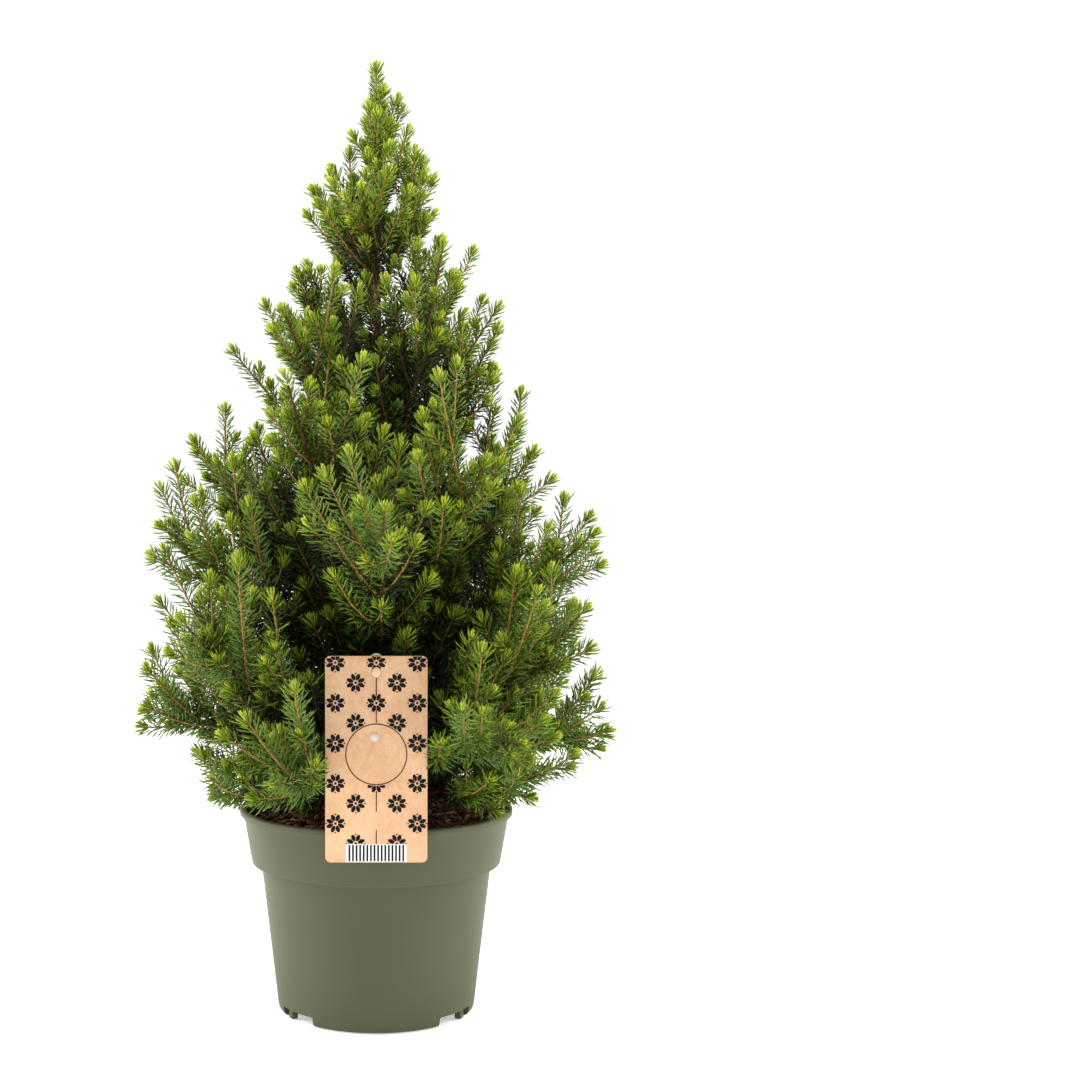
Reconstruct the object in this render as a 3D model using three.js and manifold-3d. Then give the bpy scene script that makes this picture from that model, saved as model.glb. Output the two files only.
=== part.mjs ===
// A young Alberta spruce in its plastic nursery pot, with a card label on a pick.
// Millimetres, +Z up. The origin is the middle of the pot's flat underside, and -Y is the front.
import * as THREE from "three";
import { mergeVertices } from "three/addons/utils/BufferGeometryUtils.js";
import Module from "manifold-3d";

const wasm = await Module();
wasm.setup();

const GAP = 0.3; // between pieces that touch
const UP = new THREE.Vector3(0, 0, 1);

// Pot: a thin moulded wall with a deep collar and a rolled lip.
const POT = {
  rimRadius: 95,
  height: 141,
  lipHeight: 5,
  lipOverhang: 2.8,
  collarDepth: 33,
  collarFootRadius: 86.8,
  stepRadius: 78.6,
  stepDrop: 5,
  footRadius: 68.5,
  footRound: 4,
  wall: 1.6,
  floor: 2.2,
  sides: 36,
};
const DRAIN = { angles: [37, 143, 217, 323], width: 34, depth: 17, height: 7, skin: 1.4, slotHeight: 4 };

// Growing medium: a shallow dome of bark mulch that fills the pot.
const SOIL = { edgeHeight: 130, crownHeight: 132, seatRadius: 16 };

// Trunk: flared at the soil, nearly straight, ending at the foot of this year's leader.
const TRUNK = {
  base: SOIL.crownHeight + GAP,
  top: 548,
  baseRadius: 8.2,
  topRadius: 1.7,
  flareRadius: 4.2,
  flareHeight: 16,
  sway: 2.2,
  sides: 9,
  rings: 11,
};

// Crown: the outline that the foliage fills, a cone above a broad skirt. Twigs may reach a little over it.
// On its right side, +X, the cone is dented above the shoulder.
const CROWN = {
  top: 658,
  shoulder: 345,
  shoulderRadius: 155,
  skirt: 205,
  skirtRadius: 164,
  hem: 141,
  hemRadius: 100,
  over: 3,
  dent: 0.17,
  dentHeight: 385,
  dentSpread: 30,
};

// Whorls of boughs from the soil up. Each bough leaves the trunk at one height and ends on the crown's
// outline at another, which goes up and down by the stagger from bough to bough. Bend sets where it turns
// up (out along the radius, and up along the rise). Limb is the share of a bough that is bare wood and a
// solid of its own; a whorl without it grows as foliage straight from the trunk. Twigs are for each mass.
const WHORLS = {
  skirt: { from: 144, count: 6, turn: 30, tip: 155, stagger: 0, bend: [0.5, 1.2], limb: 0, twigs: 5 },
  low: { from: 157, count: 6, turn: 0, tip: 194, stagger: 9, bend: [0.5, 0.7], limb: 0.24, twigs: 6 },
  broad: { from: 172, count: 6, turn: 30, tip: 262, stagger: 22, bend: [0.54, 0.26], limb: 0.22, twigs: 7 },
  shoulder: { from: 218, count: 5, turn: 54, tip: 342, stagger: 8, bend: [0.52, 0.42], limb: 0.22, twigs: 7 },
  middle: { from: 252, count: 5, turn: 18, tip: 412, stagger: 26, bend: [0.5, 0.36], limb: 0.22, twigs: 7 },
  upper: { from: 345, count: 4, turn: 45, tip: 503, stagger: 24, bend: [0.5, 0.38], limb: 0, twigs: 6 },
  high: { from: 496, count: 3, turn: 256, tip: 580, stagger: 16, bend: [0.5, 0.3], limb: 0, twigs: 5 },
};
const NOT_GROWN = ["skirt_5", "broad_5"]; // they would run into the card
const BOUGH = {
  leastRadius: 0.8,
  girth: 0.011,
  sides: 5,
  rings: 4,
  tipJitter: 8,
  reachJitter: 0.04,
  turnJitter: 6,
};

// Foliage: a mass is a stem with a bristly core round its middle, and twigs that stand out of it.
const CORE = {
  radius: 15,
  tipRadius: 2.4,
  from: 0.2,
  fullAt: 0.5,
  thinAt: 0.84,
  bristlesFrom: 0.7,
  sides: 4,
  pitch: 28,
};
const TWIG = {
  first: 0.1,
  last: 0.84,
  fork: 38,
  lift: 0.3,
  least: 26,
  leastOnLeader: 15,
  most: 88,
  coreRadius: 2.6,
  tipRadius: 0.8,
  sides: 3,
  pitch: 27,
  margin: 5,
  spacing: 8.5,
  bareStem: 0.15,
  bareRoot: 6,
};
const NEEDLE = { length: 11.5, lean: 0.6, twist: 7 };
const SEED = 4127;

// Card label, held in front of the rim by a stud on a plastic pick. Its hanging hole sits over a peg.
const CARD = { width: 66, height: 134, thickness: 0.8, corner: 3.5, foot: 121.5, clear: 0.5 };
const HANGING_HOLE = { radius: 3.3, height: 244.6 };
const PICK = { width: 9.4, thickness: 1.6, lean: 7.2, head: 1.5, buried: 42, point: 14 };
const PEG = { radius: 2.6, height: 244.2, length: 2.4 };
const STUD = { radius: 1.6, length: 7.2, headRadius: 2.9, headThickness: 0.9, side: -1.2, height: 203.1 };
const CLEARANCE = { side: 4, front: 17, above: 5 };

const FINISH = {
  pot: { color: 0x7d826a, roughness: 0.5 },
  soil: { color: 0x4a2a1a, roughness: 0.95 },
  bark: { color: 0x8a5a34, roughness: 0.85 },
  foliage: { color: 0x4f7a3a, roughness: 0.6 },
  card: { color: 0xe3b88f, roughness: 0.8 },
  pick: { color: 0xb9c48c, roughness: 0.45 },
};

const radians = THREE.MathUtils.degToRad;

// Park-Miller numbers from 0 to 1, the same for the same seed.
function seeded(seed) {
  let state = seed % 2147483647;
  return () => {
    state = (state * 16807) % 2147483647;
    return state / 2147483647;
  };
}

function solidOf(geometry) {
  const bare = geometry.clone();
  bare.deleteAttribute("normal");
  bare.deleteAttribute("uv");
  const merged = mergeVertices(bare, 1e-4);
  return new wasm.Manifold(
    new wasm.Mesh({
      numProp: 3,
      vertProperties: new Float32Array(merged.attributes.position.array),
      triVerts: new Uint32Array(merged.index.array),
    }),
  );
}

function geometryOf(solid) {
  const mesh = solid.getMesh();
  const geometry = new THREE.BufferGeometry();
  geometry.setAttribute("position", new THREE.BufferAttribute(mesh.vertProperties, 3));
  geometry.setIndex(new THREE.BufferAttribute(mesh.triVerts, 1));
  return geometry;
}

function shapeOf(positions, faces) {
  const geometry = new THREE.BufferGeometry();
  const flat = positions.flatMap((p) => [p.x, p.y, p.z]);
  geometry.setAttribute("position", new THREE.Float32BufferAttribute(flat, 3));
  geometry.setIndex(faces);
  return geometry;
}

// A profile of [radius, height] pairs turned about the Z axis.
function turned(profile, sides) {
  const points = profile.map(([r, z]) => new THREE.Vector2(r, z));
  return new THREE.LatheGeometry(points, sides).rotateX(Math.PI / 2);
}

// Rings of points round a path, each turned a little from the one before.
function ringsAlong(path, radiusAt, sides, twist) {
  const rings = [];
  let side = new THREE.Vector3(1, 0, 0);
  path.forEach((centre, i) => {
    const before = path[Math.max(i - 1, 0)];
    const after = path[Math.min(i + 1, path.length - 1)];
    const along = after.clone().sub(before).normalize();
    side = side.clone().addScaledVector(along, -side.dot(along));
    if (side.length() < 0.1) side = new THREE.Vector3(0, 1, 0).addScaledVector(along, -along.y);
    side.normalize();
    const across = along.clone().cross(side);
    const radius = radiusAt(i);
    const ring = [];
    for (let k = 0; k < sides; k++) {
      const angle = (2 * Math.PI * k) / sides + radians(twist * i);
      const out = side.clone().multiplyScalar(Math.cos(angle)).addScaledVector(across, Math.sin(angle));
      ring.push(centre.clone().addScaledVector(out, radius));
    }
    rings.push({ ring, centre, along });
  });
  return rings;
}

// A tapering limb along a path, with flat ends.
function limb(path, radiusAt, sides) {
  const rings = ringsAlong(path, radiusAt, sides, 0);
  const positions = rings.flatMap((r) => r.ring);
  const faces = [];
  const last = (rings.length - 1) * sides;
  for (let i = 0; i < rings.length - 1; i++)
    for (let k = 0; k < sides; k++) {
      const a = i * sides + k;
      const b = i * sides + ((k + 1) % sides);
      faces.push(a, b, b + sides, a, b + sides, a + sides);
    }
  for (let k = 1; k < sides - 1; k++) faces.push(0, k + 1, k, last, last + k, last + k + 1);
  return shapeOf(positions, faces);
}

// A core with its needles. The rings are turned half a side from one to the next. From the ring where
// the bristles begin, each triangle between two rings is drawn out to a point that leans forward, if
// there is room for one.
function spray({ path, radii, sides, bristlesFrom }, roomFor) {
  const rings = ringsAlong(path, (i) => radii[i], sides, 180 / sides + NEEDLE.twist);
  const positions = rings.flatMap((r) => r.ring);
  const faces = [];
  for (let k = 1; k < sides - 1; k++) faces.push(0, k + 1, k);
  const needle = (corners, axis, along, length) => {
    const tip = new THREE.Vector3();
    corners.forEach((c) => tip.addScaledVector(positions[c], 1 / 3));
    const out = tip.clone().sub(axis);
    out.addScaledVector(along, -out.dot(along)).normalize();
    tip.addScaledVector(out, length * Math.sqrt(1 - NEEDLE.lean ** 2));
    tip.addScaledVector(along, length * NEEDLE.lean);
    if (length > 0 && roomFor(tip, 1) && roomFor(axis, TWIG.margin)) {
      const point = positions.push(tip) - 1;
      corners.forEach((c, j) => faces.push(c, corners[(j + 1) % 3], point));
    } else {
      faces.push(...corners);
    }
  };
  for (let i = 0; i < rings.length - 1; i++) {
    const { centre, along } = rings[i];
    const length = i < bristlesFrom ? 0 : NEEDLE.length * (i === rings.length - 2 ? 0.8 : 1);
    for (let k = 0; k < sides; k++) {
      const next = (k + 1) % sides;
      const [a, b] = [i * sides + k, i * sides + next];
      const [c, d] = [a + sides, b + sides];
      needle([a, b, c], centre.clone().lerp(rings[i + 1].centre, 0.33), along, length);
      needle([b, d, c], centre.clone().lerp(rings[i + 1].centre, 0.67), along, length);
    }
  }
  const end = rings[rings.length - 1];
  const bud = positions.push(end.centre.clone().addScaledVector(end.along, NEEDLE.length * 0.6)) - 1;
  const last = (rings.length - 1) * sides;
  for (let k = 0; k < sides; k++) faces.push(last + k, last + ((k + 1) % sides), bud);
  return shapeOf(positions, faces);
}

function bezier(start, control, end, t) {
  return start
    .clone()
    .multiplyScalar((1 - t) ** 2)
    .addScaledVector(control, 2 * t * (1 - t))
    .addScaledVector(end, t * t);
}

// Points on a curve between two of its parameters.
function stretch(curve, from, to, count) {
  return Array.from({ length: count }, (_, i) => curve(from + ((to - from) * i) / (count - 1)));
}

function lengthOf(path) {
  return path.slice(1).reduce((sum, p, i) => sum + p.distanceTo(path[i]), 0);
}

function crownRadius(z) {
  if (z > CROWN.shoulder) return (CROWN.shoulderRadius * (CROWN.top - z)) / (CROWN.top - CROWN.shoulder);
  if (z > CROWN.skirt)
    return THREE.MathUtils.mapLinear(z, CROWN.skirt, CROWN.shoulder, CROWN.skirtRadius, CROWN.shoulderRadius);
  const share = THREE.MathUtils.clamp((z - CROWN.hem) / (CROWN.skirt - CROWN.hem), 0, 1);
  return CROWN.hemRadius + (CROWN.skirtRadius - CROWN.hemRadius) * Math.sin((share * Math.PI) / 2);
}

// The crown's radius towards one side.
function outline(z, sideways) {
  const nearness = Math.exp(-(((z - CROWN.dentHeight) / CROWN.dentSpread) ** 2));
  return crownRadius(z) * (1 - CROWN.dent * nearness * Math.max(sideways, 0));
}

// The trunk's centre line sways a little off the vertical and comes back at the tip.
function trunkCentre(z) {
  const t = (z - TRUNK.base) / (TRUNK.top - TRUNK.base);
  const sway = TRUNK.sway * Math.sin(Math.PI * Math.max(t, 0));
  return new THREE.Vector3(sway, -0.6 * sway * Math.cos(5 * t), z);
}

function trunkRadius(z) {
  const t = (z - TRUNK.base) / (TRUNK.top - TRUNK.base);
  const flare = TRUNK.flareRadius * Math.exp((-3 * (z - TRUNK.base)) / TRUNK.flareHeight);
  return TRUNK.baseRadius + (TRUNK.topRadius - TRUNK.baseRadius) * Math.pow(t, 0.8) + flare;
}

// Ring heights lie close together in the flare and wide apart above it.
function trunkPath() {
  return Array.from({ length: TRUNK.rings }, (_, i) => {
    const t = Math.pow(i / (TRUNK.rings - 1), 1.7);
    return trunkCentre(TRUNK.base + (TRUNK.top - TRUNK.base) * t);
  });
}

function trunkShape(extra) {
  const path = trunkPath();
  return limb(path, (i) => trunkRadius(path[i].z) + extra, TRUNK.sides);
}

// The line of each bough from the trunk's middle out to its tip, with a place and a name.
function boughLines() {
  const random = seeded(SEED);
  const lines = [];
  Object.entries(WHORLS).forEach(([name, whorl]) => {
    for (let i = 0; i < whorl.count; i++) {
      const jitter = [random(), random(), random()].map((x) => 2 * x - 1);
      if (NOT_GROWN.includes(name + "_" + (i + 1))) continue;
      const turn = radians(whorl.turn + (360 / whorl.count) * i + BOUGH.turnJitter * jitter[0]);
      const top = whorl.tip + (i % 2 ? 1 : -1) * whorl.stagger + BOUGH.tipJitter * jitter[2];
      const reach = outline(top, Math.cos(turn)) * (1 - BOUGH.reachJitter * Math.abs(jitter[1]));
      const out = new THREE.Vector3(Math.cos(turn), Math.sin(turn), 0);
      const start = trunkCentre(whorl.from);
      const control = start.clone().addScaledVector(out, reach * whorl.bend[0]);
      control.z += (top - whorl.from) * whorl.bend[1];
      const end = new THREE.Vector3(out.x * reach, out.y * reach, top);
      lines.push({
        name: name + "_" + (i + 1),
        limb: whorl.limb,
        twigs: whorl.twigs,
        curve: (t) => bezier(start, control, end, t),
      });
    }
  });
  return lines;
}

// The leader carries the trunk on to the crown's top.
function leaderLine() {
  const foot = trunkCentre(TRUNK.top);
  const tip = new THREE.Vector3(0, 0, CROWN.top - NEEDLE.length * 0.6);
  return { name: "leader", limb: 0, twigs: 8, curve: (t) => foot.clone().lerp(tip, t) };
}

function distanceToPath(point, path) {
  let least = Infinity;
  const nearest = new THREE.Vector3();
  for (let i = 0; i < path.length - 1; i++) {
    new THREE.Line3(path[i], path[i + 1]).closestPointToPoint(point, true, nearest);
    least = Math.min(least, nearest.distanceTo(point));
  }
  return least;
}

// How far a point is from the nearest of the other boughs.
function distanceToOthers(point, own, paths) {
  return Math.min(...paths.map((path, i) => (i === own ? Infinity : distanceToPath(point, path))));
}

function distanceToTrunk(point) {
  const trunk = trunkCentre(Math.min(point.z, TRUNK.top));
  const sideways = Math.hypot(point.x - trunk.x, point.y - trunk.y) - trunkRadius(trunk.z);
  return Math.hypot(Math.max(sideways, 0), Math.max(point.z - TRUNK.top, 0));
}

// True where a point lies in the space nearest its own bough by a margin, inside the crown's outline, and
// clear of trunk, pot and card.
function fits(point, own, paths, margin) {
  const reach = Math.hypot(point.x, point.y);
  if (reach > outline(point.z, point.x / reach) + CROWN.over) return false;
  if (lines[own].name !== "leader" && distanceToTrunk(point) < 1 + margin) return false;
  if (point.z < POT.height + 1.5 + margin) return false;
  const besideCard = Math.abs(point.x) < CARD.width / 2 + CLEARANCE.side;
  const aboveCard = point.z > CARD.foot + CARD.height + CLEARANCE.above;
  if (besideCard && !aboveCard && point.y < CLEARANCE.front - POT.rimRadius) return false;
  return distanceToOthers(point, own, paths) - distanceToPath(point, paths[own]) > margin;
}

// A bough is thicker the longer it is, and tapers to the thickness of a twig.
function boughRadius(line, t) {
  const root = BOUGH.leastRadius + BOUGH.girth * lengthOf(stretch(line.curve, 0, 1, 20));
  return root * (1 - t) + TWIG.tipRadius * t;
}

// The core's thickness along a stem: the stem's own at its root, full in the middle, thin at the tip.
function coreProfile(line, t, from) {
  const bare = from + CORE.from * (1 - from);
  if (t <= bare) return boughRadius(line, t);
  if (t < CORE.fullAt) return THREE.MathUtils.mapLinear(t, bare, CORE.fullAt, 3, CORE.radius);
  return THREE.MathUtils.clamp(
    THREE.MathUtils.mapLinear(t, CORE.fullAt, CORE.thinAt, CORE.radius, CORE.tipRadius),
    CORE.tipRadius,
    CORE.radius,
  );
}

// The core gives way to the space of its neighbours, the trunk and the pot.
function coreRadius(line, own, paths, t, from) {
  const point = line.curve(t);
  const full = coreProfile(line, t, from);
  const room = Math.min(
    distanceToOthers(point, own, paths) / 2 - 1,
    distanceToTrunk(point) - 1.5,
    point.z - POT.height - 2,
  );
  return Math.max(Math.min(full, room), Math.min(full, boughRadius(line, t)));
}

// Side twigs stand round the stem, lean towards its tip, and end at the crown's outline at the latest.
function sideTwigs(line, own, paths, from) {
  const random = seeded(SEED + 97 * (own + 1));
  const twigs = [];
  const least = line.name === "leader" ? TWIG.leastOnLeader : TWIG.least;
  const rolls = [95, -95, 15, 75, -75, 180, 40, -40];
  for (let i = 0; i < line.twigs; i++) {
    const draws = [random(), random(), random()];
    const share = TWIG.first + ((TWIG.last - TWIG.first) * (i + 0.6 * draws[0])) / line.twigs;
    const t = from + (1 - from) * share;
    const foot = line.curve(t);
    const along = line.curve(Math.min(t + 0.02, 1)).sub(line.curve(t - 0.02)).normalize();
    const above = UP.clone().addScaledVector(along, -along.z);
    if (above.length() < 0.05) above.set(1, 0, 0);
    above.normalize();
    const side = above.applyAxisAngle(along, radians(rolls[i % rolls.length] + 30 * (draws[1] - 0.5)));
    const fork = radians(TWIG.fork);
    const heading = along.clone().multiplyScalar(Math.cos(fork)).addScaledVector(side, Math.sin(fork));
    const curve = (length) => {
      const knee = foot.clone().addScaledVector(heading, length * 0.5);
      const tip = foot.clone().addScaledVector(heading, length).addScaledVector(UP, length * TWIG.lift);
      return (u) => bezier(foot, knee, tip, u);
    };
    const probes = [0.3, 0.5, 0.7, 0.85, 1];
    const full = TWIG.most * (0.8 + 0.4 * draws[2]);
    for (let length = full; length > least; length *= 0.88) {
      if (probes.every((u) => fits(curve(length)(u), own, paths, TWIG.margin))) {
        twigs.push({ curve: curve(length), length, t });
        break;
      }
    }
  }
  return twigs;
}

// Parameters along a curve: one long step over its bare start, then even steps of about a pitch.
function steps(from, bare, length, pitch) {
  const count = Math.max(2, Math.round((length * (1 - bare)) / (1 - from) / pitch));
  const even = Array.from({ length: count + 1 }, (_, i) => bare + ((1 - bare) * i) / count);
  return bare > from ? [from, ...even] : even;
}

// A twig or stem is made from its curve, the parameters of its rings and the radius at each of them.
function stemOf(line, own, paths) {
  const isLeader = line.name === "leader";
  const whole = lengthOf(stretch(line.curve, 0, 1, 20));
  const from = line.limb || isLeader ? line.limb + GAP / whole : 0;
  const bare = isLeader ? from : from + CORE.from * (1 - from);
  const at = steps(from, bare, whole * (1 - from), CORE.pitch);
  const slim = (t) => THREE.MathUtils.lerp(TRUNK.topRadius, TWIG.tipRadius, t);
  const radii = at.map((t) => (isLeader ? slim(t) : coreRadius(line, own, paths, t, from)));
  const bristlesFrom = isLeader ? 0 : at.findIndex((t) => t > CORE.bristlesFrom);
  return { path: at.map(line.curve), radii, sides: isLeader ? TWIG.sides : CORE.sides, bristlesFrom, from };
}

function twigOf(twig, buried) {
  const at = steps(0, Math.min((buried + TWIG.bareRoot) / twig.length, 0.5), twig.length, TWIG.pitch);
  const radii = at.map((t) => THREE.MathUtils.lerp(TWIG.coreRadius, TWIG.tipRadius, t));
  return { path: at.map(twig.curve), radii, sides: TWIG.sides, bristlesFrom: buried > 0 ? 1 : 0 };
}

// True where a needle would run into another twig of the same mass.
function crowded(tip, shoot, shoots) {
  const room = TWIG.coreRadius + TWIG.spacing;
  return shoots.some((other) => other !== shoot && distanceToPath(tip, other.path) < room);
}

// One mass of foliage: its stem from the bough's end to the tip, and its twigs, joined.
function mass(line, own, paths, trunkRoom) {
  const stem = stemOf(line, own, paths);
  const buried = (t) => (line.name === "leader" ? 0 : coreRadius(line, own, paths, t, stem.from));
  const twigs = sideTwigs(line, own, paths, Math.max(stem.from, TWIG.bareStem));
  const shoots = [stem, ...twigs.map((twig) => twigOf(twig, buried(twig.t)))];
  const solids = shoots.map((shoot) => {
    const roomFor = (point, margin) =>
      fits(point, own, paths, margin) && (margin > 1 || !crowded(point, shoot, shoots));
    return solidOf(spray(shoot, roomFor));
  });
  let solid = solids.reduce((joined, next) => joined.add(next));
  if (stem.from === 0) solid = solid.subtract(trunkRoom);
  return geometryOf(largest(solid));
}

function largest(solid) {
  return solid.decompose().sort((a, b) => b.volume() - a.volume())[0];
}

function bough(line, trunkRoom) {
  const path = stretch(line.curve, 0, line.limb, BOUGH.rings);
  const radiusAt = (i) => boughRadius(line, (line.limb * i) / (BOUGH.rings - 1));
  const solid = solidOf(limb(path, radiusAt, BOUGH.sides)).subtract(trunkRoom);
  return geometryOf(largest(solid));
}

function potOutline(extra) {
  const collarFoot = POT.height - POT.collarDepth - POT.lipHeight;
  const lipBase = POT.height - POT.lipHeight;
  return {
    outer: [
      [POT.footRadius - POT.footRound, 0],
      [POT.footRadius, POT.footRound],
      [POT.stepRadius, collarFoot - POT.stepDrop],
      [POT.collarFootRadius - 0.8, collarFoot],
      [POT.rimRadius - POT.lipOverhang, lipBase],
      [POT.rimRadius, lipBase + 1.4],
      [POT.rimRadius - 0.6, POT.height],
    ],
    inner: [
      [POT.rimRadius - POT.lipOverhang - POT.wall - extra, POT.height],
      [POT.collarFootRadius - POT.wall - extra, collarFoot + POT.wall],
      [POT.stepRadius - POT.wall - extra, collarFoot - POT.stepDrop + POT.wall],
      [POT.footRadius - POT.wall - extra, POT.footRound + POT.wall],
      [POT.footRadius - POT.footRound - POT.wall - extra, POT.floor + extra],
    ],
  };
}

// A block that reaches in from outside the foot, turned to face an angle.
function footBlock(angle, width, depth, bottom, top) {
  const outside = 12;
  const block = new THREE.BoxGeometry(depth + outside, width, top - bottom);
  block.translate(POT.footRadius - depth + (depth + outside) / 2, 0, (top + bottom) / 2);
  return solidOf(block.rotateZ(radians(angle)));
}

function pot() {
  const { outer, inner } = potOutline(0);
  const shell = solidOf(turned([[0, 0], ...outer, ...inner, [0, POT.floor]], POT.sides));
  const filled = solidOf(turned([[0, 0], ...outer, [0, POT.height]], POT.sides));
  let solid = shell;
  for (const angle of DRAIN.angles) {
    const { width, depth, height, skin, slotHeight } = DRAIN;
    const housing = footBlock(angle, width + 2 * skin, depth + skin, 0.5, height + skin).intersect(filled);
    const recess = footBlock(angle, width, depth, -1, height);
    const slot = footBlock(angle, width * 0.6, depth + 4, height - slotHeight, height + 0.01);
    solid = solid.add(housing).subtract(recess).subtract(slot);
  }
  return geometryOf(solid);
}

function soil(pickRoom) {
  const { inner } = potOutline(GAP);
  const wallAtEdge = inner[0][0] - (POT.height - SOIL.edgeHeight) * 0.16;
  const side = inner.slice(1).reverse();
  const profile = [
    [0, POT.floor + GAP],
    ...side,
    [wallAtEdge, SOIL.edgeHeight],
    [wallAtEdge - 6, SOIL.edgeHeight + 1],
    [SOIL.seatRadius, SOIL.crownHeight],
    [0, SOIL.crownHeight],
  ];
  let solid = solidOf(turned(profile, POT.sides));
  for (const angle of DRAIN.angles) {
    const { width, depth, height, skin } = DRAIN;
    const room = 2 * (skin + GAP);
    solid = solid.subtract(footBlock(angle, width + room, depth + 4 + GAP, -1, height + skin + GAP));
  }
  return geometryOf(solid.subtract(pickRoom));
}

// The pick's outline: a round head, straight sides and a point below, drawn in its own plane.
function pickOutline(extra) {
  const half = PICK.width / 2 + extra;
  const top = CARD.foot + CARD.height + PICK.head - PICK.width / 2;
  const bottom = SOIL.edgeHeight - PICK.buried;
  const shape = new THREE.Shape();
  shape.moveTo(0, bottom - extra);
  shape.lineTo(half, bottom + PICK.point - extra);
  shape.lineTo(half, top);
  shape.absarc(0, top, half, 0, Math.PI, false);
  shape.lineTo(-half, bottom + PICK.point - extra);
  return shape;
}

const cardFront = -(POT.rimRadius + CARD.clear + CARD.thickness);

// The pick leans forward until its head meets the card's top edge.
function pickBlade(extra) {
  const blade = new THREE.ExtrudeGeometry(pickOutline(extra), {
    depth: PICK.thickness + 2 * extra,
    bevelEnabled: false,
    curveSegments: 8,
  });
  const top = CARD.foot + CARD.height;
  blade.rotateX(Math.PI / 2).translate(0, PICK.thickness / 2 + extra, -top);
  blade.rotateX(radians(PICK.lean)).translate(0, cardFront + CARD.thickness + 0.6 + PICK.thickness / 2, top);
  return blade;
}

// A rod from back to front, at a place on the card.
function rod(radius, back, front, side, height, sides) {
  const round = new THREE.CylinderGeometry(radius, radius, back - front, sides);
  return solidOf(round.translate(side, (back + front) / 2, height));
}

function pick() {
  const blade = solidOf(pickBlade(0));
  const behind = cardFront + CARD.thickness + GAP;
  const before = cardFront - GAP;
  const { side, height } = STUD;
  const stud = rod(STUD.radius, behind + STUD.length, before - 0.2, side, height, 6);
  const head = rod(STUD.headRadius, before, before - STUD.headThickness, side, height, 8);
  const peg = rod(PEG.radius, behind + PEG.length, cardFront + 0.1, 0, PEG.height, 10);
  return geometryOf(blade.add(stud).add(head).add(peg));
}

function card() {
  const { width, height, corner, thickness, foot } = CARD;
  const shape = new THREE.Shape();
  const half = width / 2;
  shape.moveTo(-half + corner, foot);
  shape.lineTo(half - corner, foot);
  shape.absarc(half - corner, foot + corner, corner, -Math.PI / 2, 0, false);
  shape.lineTo(half, foot + height - corner);
  shape.absarc(half - corner, foot + height - corner, corner, 0, Math.PI / 2, false);
  shape.lineTo(-half + corner, foot + height);
  shape.absarc(-half + corner, foot + height - corner, corner, Math.PI / 2, Math.PI, false);
  shape.lineTo(-half, foot + corner);
  shape.absarc(-half + corner, foot + corner, corner, Math.PI, 1.5 * Math.PI, false);
  const holes = [
    [STUD.radius + GAP, STUD.side, STUD.height],
    [HANGING_HOLE.radius, 0, HANGING_HOLE.height],
  ];
  holes.forEach(([radius, side, middle]) => {
    const hole = new THREE.Path();
    hole.absarc(side, middle, radius, 0, 2 * Math.PI, true);
    shape.holes.push(hole);
  });
  const sheet = new THREE.ExtrudeGeometry(shape, { depth: thickness, bevelEnabled: false, curveSegments: 4 });
  return sheet.rotateX(Math.PI / 2).translate(0, cardFront + thickness, 0);
}

function named(name, geometry, finish) {
  geometry.deleteAttribute("uv");
  geometry.computeVertexNormals();
  const mesh = new THREE.Mesh(geometry, new THREE.MeshStandardMaterial({ ...finish, metalness: 0 }));
  mesh.name = name;
  return mesh;
}

const spruce = new THREE.Group();
const trunkRoom = solidOf(trunkShape(GAP));
const lines = [...boughLines(), leaderLine()];
const paths = lines.map((line) => stretch(line.curve, 0, 1, 14));

spruce.add(named("pot", pot(), FINISH.pot));
spruce.add(named("soil", soil(solidOf(pickBlade(GAP))), FINISH.soil));
spruce.add(named("trunk", trunkShape(0), FINISH.bark));
spruce.add(named("label_pick", pick(), FINISH.pick));
spruce.add(named("label_card", card(), FINISH.card));
lines.forEach((line, i) => {
  if (line.limb) spruce.add(named("bough_" + line.name, bough(line, trunkRoom), FINISH.bark));
  spruce.add(named("foliage_" + line.name, mass(line, i, paths, trunkRoom), FINISH.foliage));
});

export default spruce;
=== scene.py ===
import math
from contextlib import contextmanager

import bpy
import numpy as np
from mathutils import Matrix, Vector


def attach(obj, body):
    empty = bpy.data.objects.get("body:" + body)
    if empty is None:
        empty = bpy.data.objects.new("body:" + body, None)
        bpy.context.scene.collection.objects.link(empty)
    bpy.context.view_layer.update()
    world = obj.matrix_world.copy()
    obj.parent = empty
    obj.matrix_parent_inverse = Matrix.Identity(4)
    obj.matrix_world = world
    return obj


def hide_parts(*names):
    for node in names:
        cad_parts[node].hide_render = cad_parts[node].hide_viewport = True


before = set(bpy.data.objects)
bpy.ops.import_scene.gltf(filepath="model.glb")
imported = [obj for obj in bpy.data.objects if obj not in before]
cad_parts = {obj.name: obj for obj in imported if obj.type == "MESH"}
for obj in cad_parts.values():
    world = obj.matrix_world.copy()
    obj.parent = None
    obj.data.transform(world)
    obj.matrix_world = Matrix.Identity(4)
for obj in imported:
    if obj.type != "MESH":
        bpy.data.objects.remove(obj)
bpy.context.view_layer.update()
MM = 0.001

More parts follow.
